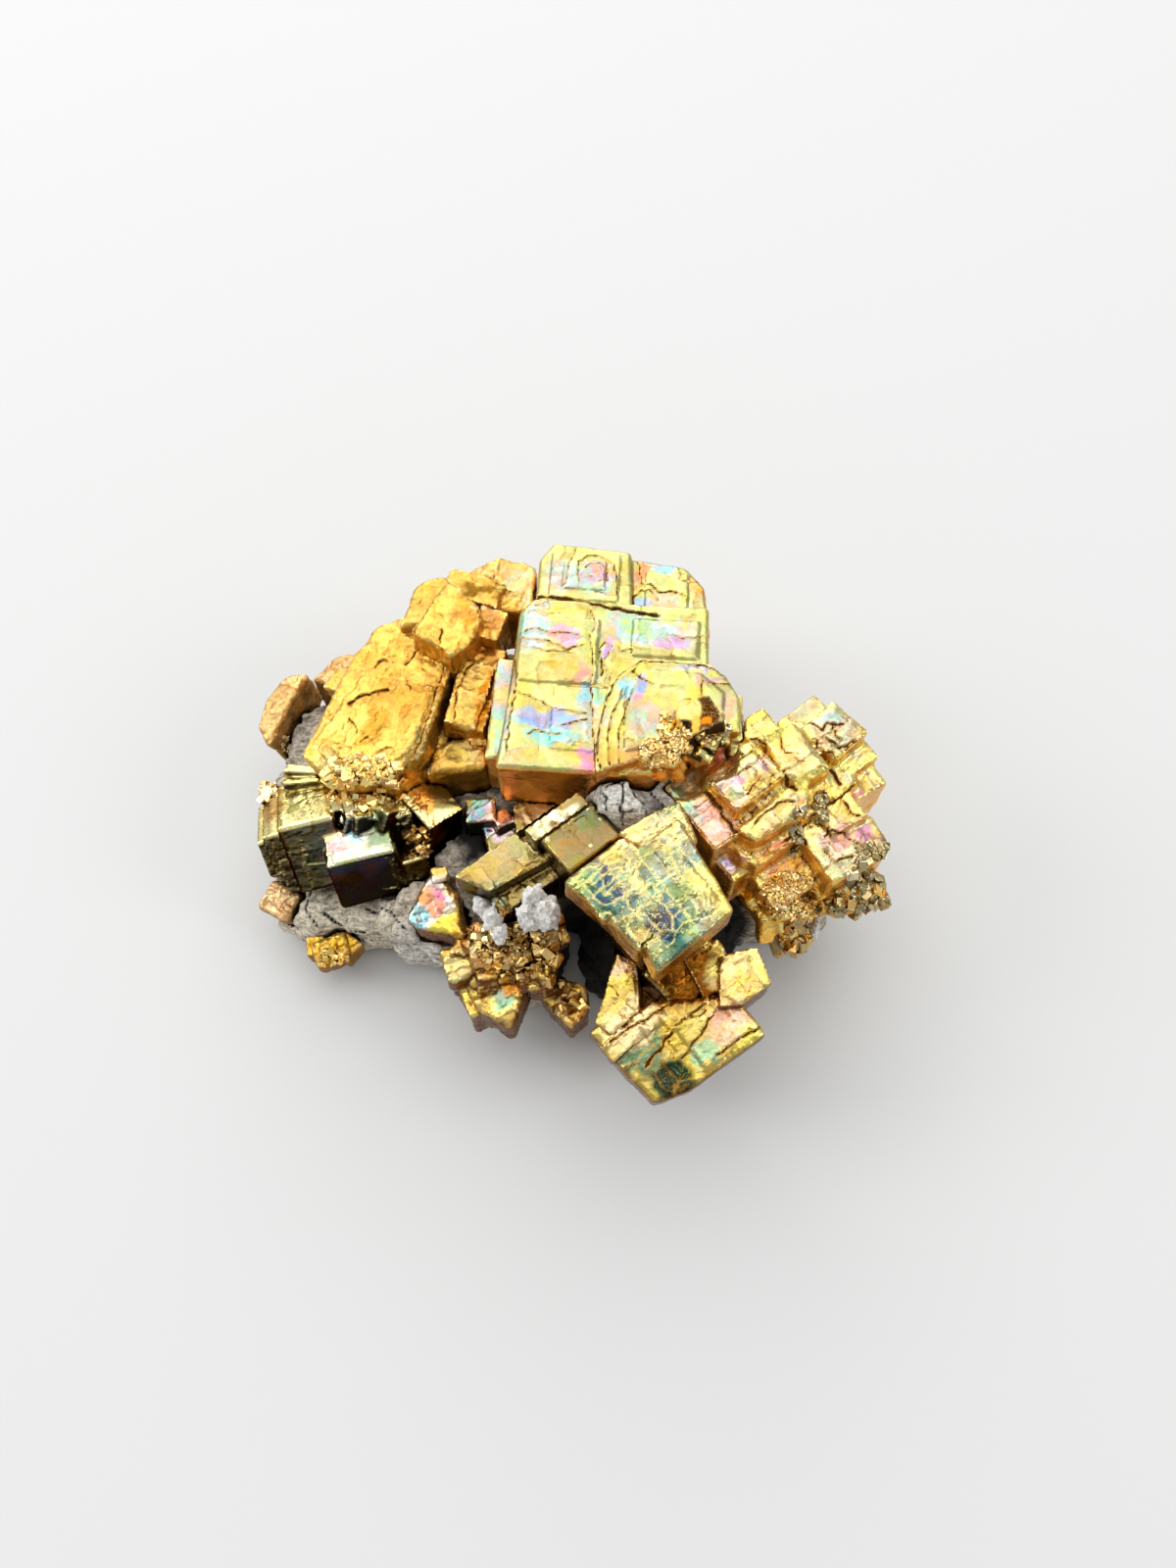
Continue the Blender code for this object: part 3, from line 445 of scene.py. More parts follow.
def growth_lines(piece, growth, turn, seed):
    """Lines that wander along the crystals' directions and turn a corner now and then."""
    chance = random.Random(seed)
    points = read_points(piece, "co")
    low, high = points.min(axis=0), points.max(axis=0)
    found = []
    for _ in range(growth.lines):
        x, y = chance.uniform(low[0], high[0]), chance.uniform(low[1], high[1])
        heading = math.radians(turn + 90 * chance.randrange(4))
        path = [x, y]
        for _ in range(chance.randrange(3, 11)):
            if chance.random() < growth.turn_chance:
                heading += math.radians(chance.choice((-90, 90)))
            way = heading + chance.gauss(0, 0.3)
            x += growth.step * math.cos(way)
            y += growth.step * math.sin(way)
            path += [x, y]
        found.append((-chance.uniform(FINEST, FINE), *path))
    return found


print("fine lines:", sum(growth.lines for growth in GROWTHS.values()), "on the larger groups")


# %% [markdown]
# Each line is pressed into the mesh: it sinks along the line itself, and one side is left a little
# higher than the other. How far each point is from its nearest line is kept as an attribute, so
# that the material can draw the line finer than the mesh.

# %% Press the lines in
LINE_REACH = 1.2      # how far from a line its step in height dies out
LINE_FAR = 0.5        # distances beyond this are all the same to the material
SHAKE = 0.22          # how far a line strays from its drawn course
GROOVE_SLOPE = 0.16   # how wide the slope of an open crack is
noise.seed_set(7)     # without a seed, vector noise starts from the clock and is new in each run


def wander(points, size, reach, seed):
    """A sideways shift for each point, smooth over this size, up to this reach."""
    shift = Vector((seed * 5.1, seed * 2.3, 0))
    found = np.empty((len(points), 2), np.float32)
    for index, place in enumerate(points):
        drift = noise.noise_vector(Vector(place) / size + shift)
        found[index] = drift.x, drift.y
    return found * reach


def press_lines(piece, lines, side_step, seed):
    points = read_points(piece, "co")
    flat = points[:, :2] + wander(points, 0.8, SHAKE, seed)
    tops = read_points(piece, "normal")[:, 2] > 0.4
    nearest = np.full(len(points), LINE_REACH, np.float32)
    lift = np.zeros(len(points), np.float32)
    for wide, *numbers in lines:
        path = list(zip(numbers[::2], numbers[1::2]))
        for start, end in zip(path, path[1:]):
            low = np.minimum(start, end) - LINE_REACH
            high = np.maximum(start, end) + LINE_REACH
            near = np.flatnonzero(tops & (flat > low).all(axis=1) & (flat < high).all(axis=1))
            way = np.subtract(end, start)
            away = flat[near] - start
            along = np.clip(away @ way / (way @ way), 0, 1)
            gap = away - along[:, None] * way
            distance = np.hypot(gap[:, 0], gap[:, 1]) - wide / 2
            closer = distance < nearest[near]
            chosen = near[closer]
            nearest[chosen] = distance[closer]
            side = np.sign(way[0] * away[closer][:, 1] - way[1] * away[closer][:, 0])
            depth = max(wide, 0) * 0.9
            sunk = np.clip(1 - (distance[closer] + wide / 2) / (wide / 2 + GROOVE_SLOPE), 0, 1) * depth
            fade = np.clip(1 - distance[closer] / LINE_REACH, 0, 1)
            lift[chosen] = side * fade * side_step - sunk
    points[:, 2] += lift
    move_points(piece, points)
    for name, values in (("from_line", np.minimum(nearest, LINE_FAR)),
                         ("line_side", np.clip(lift / max(side_step, 0.01), -1, 1))):
        piece.data.attributes.new(name, "FLOAT", "POINT").data.foreach_set("value", values)


for number, (node, piece) in enumerate(pieces.items()):
    growth = GROWTHS.get(node, FEW_LINES)
    lines = growth_lines(piece, growth, RELIEFS[node].turn, number + 1) + CRACKS.get(node, [])
    press_lines(piece, lines, growth.side_step, number + 1)
    print(node, "lines:", len(lines))


# %% [markdown]
# ## Painting the film
#
# The colour of the film changes from crystal to crystal and across one crystal, where it is a
# little thicker or thinner. It is painted as a colour attribute: a colour for the whole group,
# then spots of other colours, turned like the crystals and with edges that wander. The fourth
# number of each colour says how much of a rainbow plays over it. The steep sides and fronts of the
# crystals get their own colours, which are painted light and shade: the reflection that a face
# turned that way shows, darker on most groups than the tops.
#
# A spot is its middle, half its width and half its depth in millimetres, its colour and its play of
# colour. It is turned like its group unless a turn is given, and after that how soft its edge is.

# %% Colours of the large cube
SPOTS = {}
SPOTS["large_cube_crystals"] = [
    # aqua, blue and pink along the growth lines, gold at the edges, and the dark glossy crystal last,
    # with painted shade round it and painted light and shade on its facets
    (-4.0, 15.1, 1.5, 2.6, "#B5D3AC", 0.35),
    (-1.1, 14.0, 1.5, 1.0, "#D9A8A8", 0.35),
    (-0.8, 10.3, 2.0, 1.4, "#E2BF4A", 0.15),
    (0.6, 10.0, 0.7, 0.9, "#DD9268", 0.2),
    (-2.8, 5.2, 2.9, 1.0, "#84ACDD", 0.25, -8),
    (-2.2, 3.2, 2.4, 0.8, "#88D2C2", 0.2, -6),
    (-5.6, 1.6, 1.3, 1.2, "#CEBE6C", 0.2),
    (1.2, 6.2, 0.8, 3.2, "#95CEB9", 0.35),
    (1.2, 0.8, 1.0, 0.9, "#E292A8", 0.25),
    (2.3, 3.9, 0.7, 1.8, "#CAC674", 0.25),
    (6.9, 14.5, 4.2, 1.4, "#BFCC83", 0.5),
    (8.9, 13.2, 2.0, 0.8, "#D595B0", 0.35),
    (2.9, 12.9, 0.5, 1.2, "#B79DD5", 0.3),
    (5.5, 16.4, 2.7, 0.8, "#C8C886", 0.4),
    (1.2, 21.3, 2.4, 1.8, "#CAC286", 0.5),
    (1.9, 21.3, 1.1, 1.0, "#D9A89D", 0.4),
    (-2.1, 21.5, 1.3, 2.0, "#D3CC83", 0.4),
    (8.6, 23.3, 1.5, 0.9, "#97CACE", 0.3),
    (6.7, 18.9, 0.8, 0.8, "#9DBFDD", 0.3, 0),
    (12.1, 20.3, 0.7, 2.6, "#DDB243", 0.2),
    (9.9, 18.4, 2.2, 1.2, "#E1C85D", 0.35),
    (6.3, 22.1, 0.6, 1.6, "#DD904E", 0.2),
    (4.8, 7.1, 0.8, 1.2, "#83CEC6", 0.25, 0),
    (6.2, 8.0, 0.6, 0.7, "#88AAE1", 0.2, 0),
    (5.9, 6.7, 0.7, 0.6, "#E292AC", 0.25, 0),
    (12.1, 8.4, 1.1, 0.7, "#E2959D", 0.35, 0),
    (11.1, 9.7, 1.3, 0.5, "#C192CA", 0.4, 0),
    (10.2, 6.7, 1.6, 0.8, "#E2CC52", 0.2, 0),
    (4.7, 0.5, 1.6, 1.2, "#D9B052", 0.15, 0),
    (14.0, 5.9, 0.8, 1.6, "#D9B547", 0.3, 0),
    (6.8, 4.4, 2.0, 2.0, "#B7B37B", 0.3, 0),
    (-7.0, 7.3, 1.1, 5.1, "#B5C495", 0.4),
    (10.8, 3.0, 2.2, 2.3, "#4E320C", 0.0, 0, 0.25),
    (10.1, 3.8, 1.1, 1.1, "#E8CE7B", 0.0, 0, 0.2),
    (12.2, 3.6, 0.7, 1.4, "#452305", 0.0, 0, 0.2),
    (11.6, 2.4, 0.4, 0.5, "#EF810E", 0.0, 0, 0.3),
    (9.5, 1.9, 0.8, 1.0, "#1B0C03", 0.0, 0, 0.2),
    (10.7, 2.0, 0.4, 1.1, "#D9AC4A", 0.0, 0, 0.2),
    (11.5, 1.5, 0.6, 0.7, "#63360E", 0.0, 0, 0.2),
]
print(len(SPOTS["large_cube_crystals"]), "colours of the large cube")

# %% Colours of the left plates
SPOTS["left_plate_crystals"] = [
    # gold, with painted shade a little darker where one plate meets the next
    (-21.5, 4.0, 3.2, 3.1, "#FFDE68", 0.04),
    (-16.3, 9.1, 3.4, 1.9, "#DCA840", 0.02),
    (-18.1, 13.2, 3.2, 2.1, "#EFC050", 0.04),
    (-23.7, 2.4, 1.5, 1.4, "#E6D468", 0.12),
    (-19.4, 5.6, 1.1, 2.3, "#E2AC3E", 0.0),
    (-14.1, 4.5, 0.8, 4.1, "#94802C", 0.05),
    (-10.2, 17.3, 1.5, 2.0, "#DC9C24", 0.05),
    (-13.1, 13.4, 1.8, 1.4, "#F0C450", 0.05),
    (-14.8, 19.2, 1.8, 1.6, "#EBBC48", 0.05),
    (-6.0, 22.4, 1.9, 2.1, "#DCD46C", 0.3, -10),
    (-8.4, 24.6, 2.1, 0.9, "#E2BC48", 0.2, -10),
    (-9.7, 21.1, 2.0, 0.7, "#8A6414", 0.0, -10),
    (-9.3, 14.2, 1.9, 0.7, "#E6A436", 0.05),
    (-10.4, 10.3, 1.1, 3.1, "#E4BC4C", 0.08, -13),
    (-8.6, 9.0, 0.5, 3.1, "#CE8418", 0.0, -13),
    (-10.5, 4.4, 2.5, 1.5, "#CBA846", 0.1, -13),
    (-8.2, 17.0, 0.9, 1.2, "#D89A2C", 0.1, 0),
    (-25.1, 16.5, 2.0, 1.3, "#D8B070", 0.05, -20),
]
print(len(SPOTS["left_plate_crystals"]), "colours of the left plates")

# %% Colours of the terraces
SPOTS["terrace_crystals"] = [
    # pale yellow with pink and green, orange towards the druse
    (14.4, -1.3, 2.4, 3.0, "#DCDC86", 0.3),
    (13.9, -1.8, 1.1, 0.8, "#E6AEB4", 0.3),
    (17.0, 0.4, 0.9, 0.8, "#E8A8B0", 0.3),
    (16.6, 4.4, 2.0, 1.2, "#E4DC74", 0.15),
    (13.4, 2.1, 1.8, 0.9, "#F0B088", 0.35),
    (10.2, -0.2, 1.8, 1.8, "#C6D27C", 0.3),
    (9.3, -1.5, 0.9, 0.6, "#A0D6B4", 0.3),
    (12.2, -4.9, 2.2, 2.4, "#F0BC94", 0.25),
    (13.8, -7.5, 0.9, 1.0, "#C8A0C8", 0.3),
    (10.0, -4.0, 0.9, 1.2, "#B8D8A4", 0.4),
    (20.4, 1.1, 3.1, 1.6, "#E6D46C", 0.2),
    (18.7, -4.1, 2.7, 1.2, "#ECC860", 0.25),
    (24.0, 4.4, 2.4, 2.4, "#CFC48C", 0.15, 30),
    (23.6, 5.4, 0.7, 0.8, "#A0B890", 0.3, 30),
    (21.4, 7.3, 1.7, 0.9, "#C8C080", 0.15, 30),
    (26.8, 0.0, 1.7, 2.1, "#EADC7C", 0.3, 30),
    (25.9, -1.2, 0.7, 0.6, "#ECA8A4", 0.3, 30),
    (25.1, -5.9, 3.0, 2.7, "#E8DE88", 0.3, 30),
    (24.0, -5.4, 1.3, 1.0, "#F0B474", 0.35, 30),
    (26.7, -4.8, 0.8, 0.7, "#EAA8B8", 0.3, 30),
    (24.9, -2.8, 1.3, 1.0, "#EAD870", 0.2, 30),
    (19.4, -7.3, 1.9, 1.3, "#E08C28", 0.2, 30),
    (17.2, -6.3, 1.7, 0.8, "#DDA848", 0.15, 30),
    (27.8, -6.7, 2.3, 1.7, "#8C7458", 0.1, 30),
]
print(len(SPOTS["terrace_crystals"]), "colours of the terraces")

# %% Colours of the thick plate
SPOTS["central_plate_crystals"] = [
    # deep teal on the left, gold on the right
    (5.0, -6.8, 2.0, 1.6, "#F0D88C", 0.2),
    (8.9, -6.3, 2.2, 1.6, "#F4D090", 0.25),
    (2.8, -11.8, 1.8, 2.4, "#123C3E", 0.12),
    (0.5, -11.4, 1.4, 1.2, "#5C8450", 0.15),
    (4.5, -10.0, 1.4, 1.2, "#9CA860", 0.2),
    (6.3, -13.5, 2.1, 1.6, "#6C8C74", 0.1),
    (8.0, -15.6, 1.4, 2.4, "#164448", 0.12),
    (5.6, -17.1, 1.4, 0.8, "#B4A858", 0.15),
    (12.3, -12.2, 1.6, 3.0, "#FFEC7C", 0.08),
    (10.5, -15.2, 1.8, 1.4, "#9CA468", 0.2),
    (8.7, -10.0, 2.3, 1.4, "#7E9A84", 0.15),
    (8.8, -7.2, 2.3, 1.0, "#E0D080", 0.2),
    (2.9, -8.7, 1.3, 0.8, "#D2C264", 0.15),
    (5.3, -11.8, 0.9, 0.8, "#E0D48C", 0.1),
]
print(len(SPOTS["central_plate_crystals"]), "colours of the thick plate")

# %% Colours of the front cube
SPOTS["front_cube_crystals"] = [
    # olive and tan, and dark brown painted shade under the thick plate
    (8.2, -26.2, 1.7, 1.9, "#12301F", 0.02),
    (5.9, -24.3, 2.1, 1.5, "#64805A", 0.05),
    (3.8, -23.2, 1.2, 1.1, "#E8D068", 0.04),
    (13.3, -21.3, 2.1, 1.7, "#ECB888", 0.15),
    (9.8, -17.5, 3.4, 2.7, "#8A5214", 0.0, 0, 0.4),
    (7.6, -18.2, 1.4, 1.6, "#4A2A08", 0.0, 0, 0.4),
    (14.7, -17.3, 2.6, 2.3, "#E8D070", 0.15, 30),
    (11.6, -24.2, 1.5, 1.0, "#A8C88C", 0.1),
    (15.9, -22.4, 1.2, 1.3, "#F2E26C", 0.15),
    (9.8, -21.9, 1.5, 1.3, "#C8B454", 0.06),
    (5.1, -21.8, 2.9, 1.7, "#F0D89C", 0.03),
    (4.7, -16.6, 0.8, 0.8, "#F08C6C", 0.4, 0),
]
print(len(SPOTS["front_cube_crystals"]), "colours of the front cube")

# %% Colours of the dark-fronted cubes
SPOTS["lower_left_crystals"] = [
    # pale tops, and olive on the cube beside them
    (-26.3, 1.3, 2.9, 2.2, "#F4E888", 0.15),
    (-27.5, -0.6, 1.4, 0.9, "#C8BC68", 0.1),
    (-21.2, -3.7, 4.1, 2.4, "#F6F0B0", 0.3),
    (-23.0, -4.1, 0.9, 1.1, "#FFC0A4", 0.3),
    (-21.7, -3.1, 0.7, 0.9, "#B8E0D8", 0.3),
    (-19.0, -3.1, 1.6, 1.3, "#8C9458", 0.15),
    (-13.0, 0.8, 2.1, 2.1, "#847026", 0.06, 0),
    (-14.6, -0.2, 0.8, 1.3, "#E4A234", 0.1, 0),
    (-30.2, 1.3, 1.2, 2.2, "#D8AC58", 0.1),
]
print(len(SPOTS["lower_left_crystals"]), "colours of the dark-fronted cubes")

# %% Colours above the hollow
SPOTS["middle_crystals"] = [
    # olive, with one pale stripe and a few small pink and aqua crystals
    (0.5, -5.4, 3.0, 2.7, "#8E7628", 0.08, 38),
    (1.6, -3.9, 1.3, 1.2, "#6E6A30", 0.1, 38),
    (-1.9, -4.3, 2.6, 0.6, "#F0EAB8", 0.1, 38),
    (-7.0, -6.5, 3.4, 2.3, "#B4A256", 0.1),
    (-9.2, -1.3, 1.3, 1.5, "#78948C", 0.3, 0),
    (-7.3, -1.6, 1.2, 1.3, "#F2C4C4", 0.3, 0),
    (-4.0, -1.2, 1.3, 1.3, "#D8B878", 0.1, 0),
    (-7.4, -10.6, 1.0, 1.1, "#8A9C5C", 0.15, 30),
]
print(len(SPOTS["middle_crystals"]), "colours above the hollow")

# %% Colours of the rainbow crystal
SPOTS["front_druse_crystals"] = [
    # white, orange and aqua, and the gold of the crystals below it
    (-13.7, -9.5, 2.0, 2.4, "#FFF6EC", 0.08),
    (-13.7, -9.5, 1.2, 1.3, "#F89060", 0.2),
    (-12.6, -8.9, 0.6, 0.7, "#F07C90", 0.2),
    (-15.1, -10.5, 0.8, 1.3, "#98E4F4", 0.1),
    (-11.9, -11.7, 1.8, 1.0, "#F4E052", 0.05),
    (-11.1, -15.5, 1.6, 1.5, "#DCD080", 0.1),
    (-7.1, -18.2, 2.0, 2.0, "#F4DA60", 0.15, 26),
    (-6.9, -18.0, 0.8, 0.9, "#9CC08C", 0.2, 26),
    (-5.8, -16.7, 1.2, 0.7, "#F2A22C", 0.1, 26),
    (-6.7, -12.8, 4.0, 3.3, "#C88A2C", 0.1),
    (-0.7, -17.5, 1.8, 1.6, "#9C7628", 0.1),
]
print(len(SPOTS["front_druse_crystals"]), "colours of the rainbow crystal")

# %% Colours of the rock
SPOTS["matrix_rock"] = [
    # pale and bluish in the window, nearly black painted shadow deep in the hollows, cream on the
    # left; no film at all
    (5.5, -2.9, 4.4, 3.7, "#F6FCFF", 0),
    (-9.8, -1.8, 2.0, 2.6, "#14100C", 0),
    (1.0, -14.9, 3.4, 6.6, "#0A0806", 0),
    (1.0, -13.3, 3.6, 7.0, "#0A0806", 0),
    (15.2, -11.1, 2.3, 3.4, "#120E0A", 0),
    (7.3, -16.8, 6.1, 4.5, "#140C04", 0),
    (10.6, -7.8, 1.4, 6.5, "#2A221C", 0, 36),
    (-23.9, -7.6, 6.3, 3.5, "#FFF8E8", 0),
    (-15.5, -13.0, 2.5, 2.8, "#FFFFFF", 0),
    (-30.8, -3.8, 1.6, 3.4, "#FFF4E4", 0),
    (-29.6, 11.4, 2.0, 1.8, "#D8D4D0", 0),
]
print(len(SPOTS["matrix_rock"]), "colours of the rock")


# %% Paint
SOFT = 0.5      # how soft the edge of a spot is when it doesn't say so
SHARP = 0.4     # a spot this sharp or sharper keeps to its place, and its edge doesn't wander


def paint(piece, base, play, sides, turn, spots, seed):
    """Paints the "film" attribute. The sides are the colours of steep faces and of steep fronts."""
    points = read_points(piece, "co")
    moved = points[:, :2] + wander(points, 1.8, 1.0, seed) + wander(points, 0.5, 0.3, seed)
    colours = np.empty((len(points), 4), np.float32)
    colours[:, :3] = linear(base)
    colours[:, 3] = play
    for x, y, across, deep, colour, own_play, *rest in spots:
        own_turn, soft = (*rest, *(turn, SOFT)[len(rest):])
        own_turn = math.radians(own_turn)
        away = (moved if soft > SHARP else points[:, :2]) - (x, y)
        along = away[:, 0] * math.cos(own_turn) + away[:, 1] * math.sin(own_turn)
        aside = away[:, 1] * math.cos(own_turn) - away[:, 0] * math.sin(own_turn)
        reach = ((np.abs(along) / across) ** 3 + (np.abs(aside) / deep) ** 3) ** (1 / 3)
        amount = np.clip((1 + soft / 2 - reach) / soft, 0, 1)[:, None]
        colours = colours * (1 - amount) + np.array([*linear(colour), own_play]) * amount
    # painted light and shade: steep faces, and steep fronts most of all, take the colour of the reflection
    # that they show instead of the film
    if sides:
        normals = read_points(piece, "normal")
        steep = np.clip((0.78 - normals[:, 2]) / 0.3, 0, 1)[:, None]
        front = np.clip(-1.25 * normals[:, 1], 0, 1)[:, None]
        painted = np.array(linear(sides[0])) * (1 - front) + np.array(linear(sides[1])) * front
        patchy = np.clip(wander(points, 2.6, 1.0, seed + 5)[:, :1] * 2, 0, 0.5) * (1 - front)
        painted = painted * (1 - patchy) + np.array(linear(base)) * patchy
        colours[:, :3] = colours[:, :3] * (1 - steep) + painted * steep
        colours[:, 3] *= 1 - steep[:, 0] * 0.85
    film = piece.data.attributes.new("film", "FLOAT_COLOR", "POINT")
    film.data.foreach_set("color", colours.astype(np.float32).ravel())


# %% [markdown]
# ## Tarnished pyrite
#
# Pyrite is a metal to the eye: all of its colour is in what it reflects. The film's colour is the
# Base Color of a fully metallic Principled shader, broken up by square blocks of growth, each a
# little lighter or darker and leaning its own way. Growth lines have an orange-brown border where
# the film is thickest and a dark core, sharp edges get a painted highlight of pale gold that stands
# partly for wear, and hollows are darkened with dust and painted shade where the Ambient Occlusion
# node finds them. One small function adds any node, so that the steps below it read like the list
# of nodes that they are.

# %% Add a node
def add_node(tree, kind, inputs=(), stops=(), **settings):
    """Adds a shader node with its settings and links, and gives back its outputs.

    Each input is a value, or an output that feeds it. They are given by name, or as a list in the
    order of the node's sockets. The stops of a Color Ramp are pairs of a place and a hex colour.
    """
    made = tree.nodes.new("ShaderNode" + kind)
    for key, value in settings.items():
        setattr(made, key, value)
    for key, value in inputs.items() if isinstance(inputs, dict) else enumerate(inputs):
        if isinstance(value, bpy.types.NodeSocket):
            tree.links.new(value, made.inputs[key])
        else:
            made.inputs[key].default_value = value
    if stops:
        band = made.color_ramp
        while len(band.elements) < len(stops):
            band.elements.new(0.5)
        for element, (place, colour) in zip(band.elements, stops):
            element.position = place
            element.color = flat_colour(colour)
    return made.outputs


def new_material(name, rough, metallic):
    """A material, what adds a node to it, its shader, and the place on the piece in millimetres."""
    made = bpy.data.materials.new(name)
    made.use_nodes = True
    shader = made.node_tree.nodes["Principled BSDF"]
    shader.inputs["Roughness"].default_value = rough
    shader.inputs["Metallic"].default_value = metallic
    add = partial(add_node, made.node_tree)
    metres = add("TexCoord")["Object"]
    place = add("VectorMath", {0: metres, "Scale": 1 / MM}, operation="SCALE")["Vector"]
    return made, add, shader, place


def feed(shader, name, output):
    shader.id_data.links.new(output, shader.inputs[name])


print("helpers: add_node, new_material, feed")


# %% [markdown]
# The blocks of growth are cells of a Voronoi pattern, whose square distances make square cells. Its
# coordinates are bent a little, because no edge of a crystal is quite straight, and then turned to
# lie along the crystals' edges. A wider pattern of the same kind gives the square hills: cut into
# levels, each level ends in a thin line, as the growth layers of a real face do.

# %% Blocks and contours
BEND_SIZE, BEND = 2.5, 1.8          # size of the bends, and how far they push
HILL_SIZE, HILL_WAVES = 2.4, 1.5    # in blocks: size of a hill, and of the waves in its contours
LEVEL = 0.045                       # part of a hill's height between two contours


def along_edges(add, place, turn):
    """The place, bent a little and turned to lie along the crystals' edges."""
    drift = add("TexNoise", {"Vector": place, "Scale": 1 / BEND_SIZE, "Detail": 4})["Color"]
    centred = add("VectorMath", [drift, (0.5, 0.5, 0.5)], operation="SUBTRACT")["Vector"]
    bent = add("VectorMath", [centred, (BEND, BEND, BEND), place], operation="MULTIPLY_ADD")
    return add("Mapping", {"Vector": bent["Vector"], "Rotation": (0.1, 0.07, -math.radians(turn))})["Vector"]


def lean(add, cell, place):
    """A slope across each cell of a Voronoi pattern, so that the cell's face leans its own way."""
    inside = add("VectorMath", [place, cell["Position"]], operation="SUBTRACT")
    sway = add("VectorMath", [cell["Color"], (0.5, 0.5, 0.5)], operation="SUBTRACT")
    return add("VectorMath", [inside["Vector"], sway["Vector"]], operation="DOT_PRODUCT")["Value"]


def hill_contours(add, turned, patchy, block):
    """The levels of square hills, the line that each ends in, and the light on each shelf."""
    hill = add("TexVoronoi", {"Vector": turned, "Scale": 1 / (HILL_SIZE * block)}, distance="CHEBYCHEV")
    waves = add("TexNoise", {"Vector": turned, "Scale": 1 / (HILL_WAVES * block), "Detail": 4})
    height = add("Math", [hill["Distance"], 0.4, waves["Fac"]], operation="MULTIPLY_ADD")[0]
    level = add("Math", [height, LEVEL], operation="SNAP")[0]
    past = add("Math", [height, level], operation="SUBTRACT")[0]
    width = add("MapRange", [patchy, 0.42, 0.66, 0.0, 0.009])[0]
    contour = add("Math", [past, width], operation="LESS_THAN")[0]
    shelf = add("MapRange", [past, 0.0, LEVEL, 1.07, 0.95])[0]
    return level, contour, shelf


print("contours:", round(1 / LEVEL), "levels for a full hill,", HILL_SIZE, "blocks wide")


# %% [markdown]
# A film's colour depends on how thick it is, and runs through gold, pink, violet, blue, aqua and
# green as it grows. So a noise stands for the thickness, a Color Ramp turns it to those colours,
# and the painted film says how much of them shows. The skin is mottled as well, and the two sides
# of a growth line are painted lighter and darker, painted light and shade on the step between them.

# %% Colour of the film
FILM_SIZE = 3.4       # size of the patches in which the film is equally thick
MOTTLE_SIZE = 0.9
FILM_PLAY = [(0.32, "#F2C64A"), (0.38, "#F0A078"), (0.43, "#F098B4"), (0.47, "#BCA4E6"),
             (0.52, "#8EC0F0"), (0.57, "#8CE0D2"), (0.63, "#B4E08C"), (0.72, "#F4EA7C")]
SKIN_TONES = [(0.36, "#CDA872"), (0.5, "#F6F0E6"), (0.68, "#FFFFFF")]


def film_colour(add, place, turned, chance, shelf, busy):
    """The painted film with its play of colour, and with painted light and shade by block, shelf and line."""
    film = add("Attribute", attribute_name="film")
    line_side = add("Attribute", attribute_name="line_side")["Fac"]
    thick = add("TexNoise", {"Vector": turned, "Scale": 1 / FILM_SIZE, "Detail": 5, "Roughness": 0.6})
    offset = add("MapRange", [chance["Red"], 0.0, 1.0, -0.06, 0.06])[0]
    thickness = add("Math", [thick["Fac"], offset], operation="ADD")[0]
    rainbow = add("ValToRGB", [thickness], FILM_PLAY)[0]
    tinted = add("Mix", {"Factor": film["Alpha"], "A": film["Color"], "B": rainbow}, data_type="RGBA")[2]
    mottle = add("TexNoise", {"Vector": place, "Scale": 1 / MOTTLE_SIZE, "Detail": 6, "Roughness": 0.7})
    skin_tone = add("ValToRGB", [mottle["Fac"]], SKIN_TONES)[0]
    toned = add("Mix", {"Factor": 0.6 * busy, "A": tinted, "B": skin_tone}, data_type="RGBA",
                blend_type="MULTIPLY")[2]
    block_light = add("MapRange", [chance["Green"], 0.0, 1.0, 0.88, 1.10])[0]
    # painted light and shade: the raised side of a growth line is lighter and the lower side darker, and each
    # shelf of a hill runs from lighter to darker
    side_light = add("MapRange", [line_side, -1.0, 1.0, 0.84, 1.14])[0]
    light = add("Math", [block_light, side_light], operation="MULTIPLY")[0]
    light = add("Math", [light, shelf], operation="MULTIPLY")[0]
    return add("VectorMath", {0: toned, "Scale": light}, operation="SCALE")["Vector"]


print("play of colour:", [colour for _, colour in FILM_PLAY])


# %% [markdown]
# The parts come together in one material, which gives the eye a hard gold mirror under a tint:
# clean reflections broken by fine steps, a warm brown edge to every line, pale gold painted on the
# corners as a highlight, partly where they are rubbed bare, and dust and painted shade in the
# hollows. The bumps are stacked from coarse to fine, each standing on the one before it. How busy a
# group is scales its bumps and its contours together.

# %% The pyrite's material
PATCH_SIZE = 3.0      # size of the patches that are rougher and have wider contours
GRAIN_SIZE = 0.4      # size of the grain that makes the lines ragged
FLAKE_SIZE = 0.55     # size of the small flakes that lean their own way
HOLLOW = 1.4          # how far the shadow and dust of a hollow reach
# pale gold painted on sharp edges: a painted highlight, partly wear
EDGE_HIGHLIGHT_GOLD = "#FBE9A4"
Finish = namedtuple("Finish", "base play side side_front turn block busy rough metal line core dirt tint",
                    defaults=("#3A220A", "#FFFFFF"))


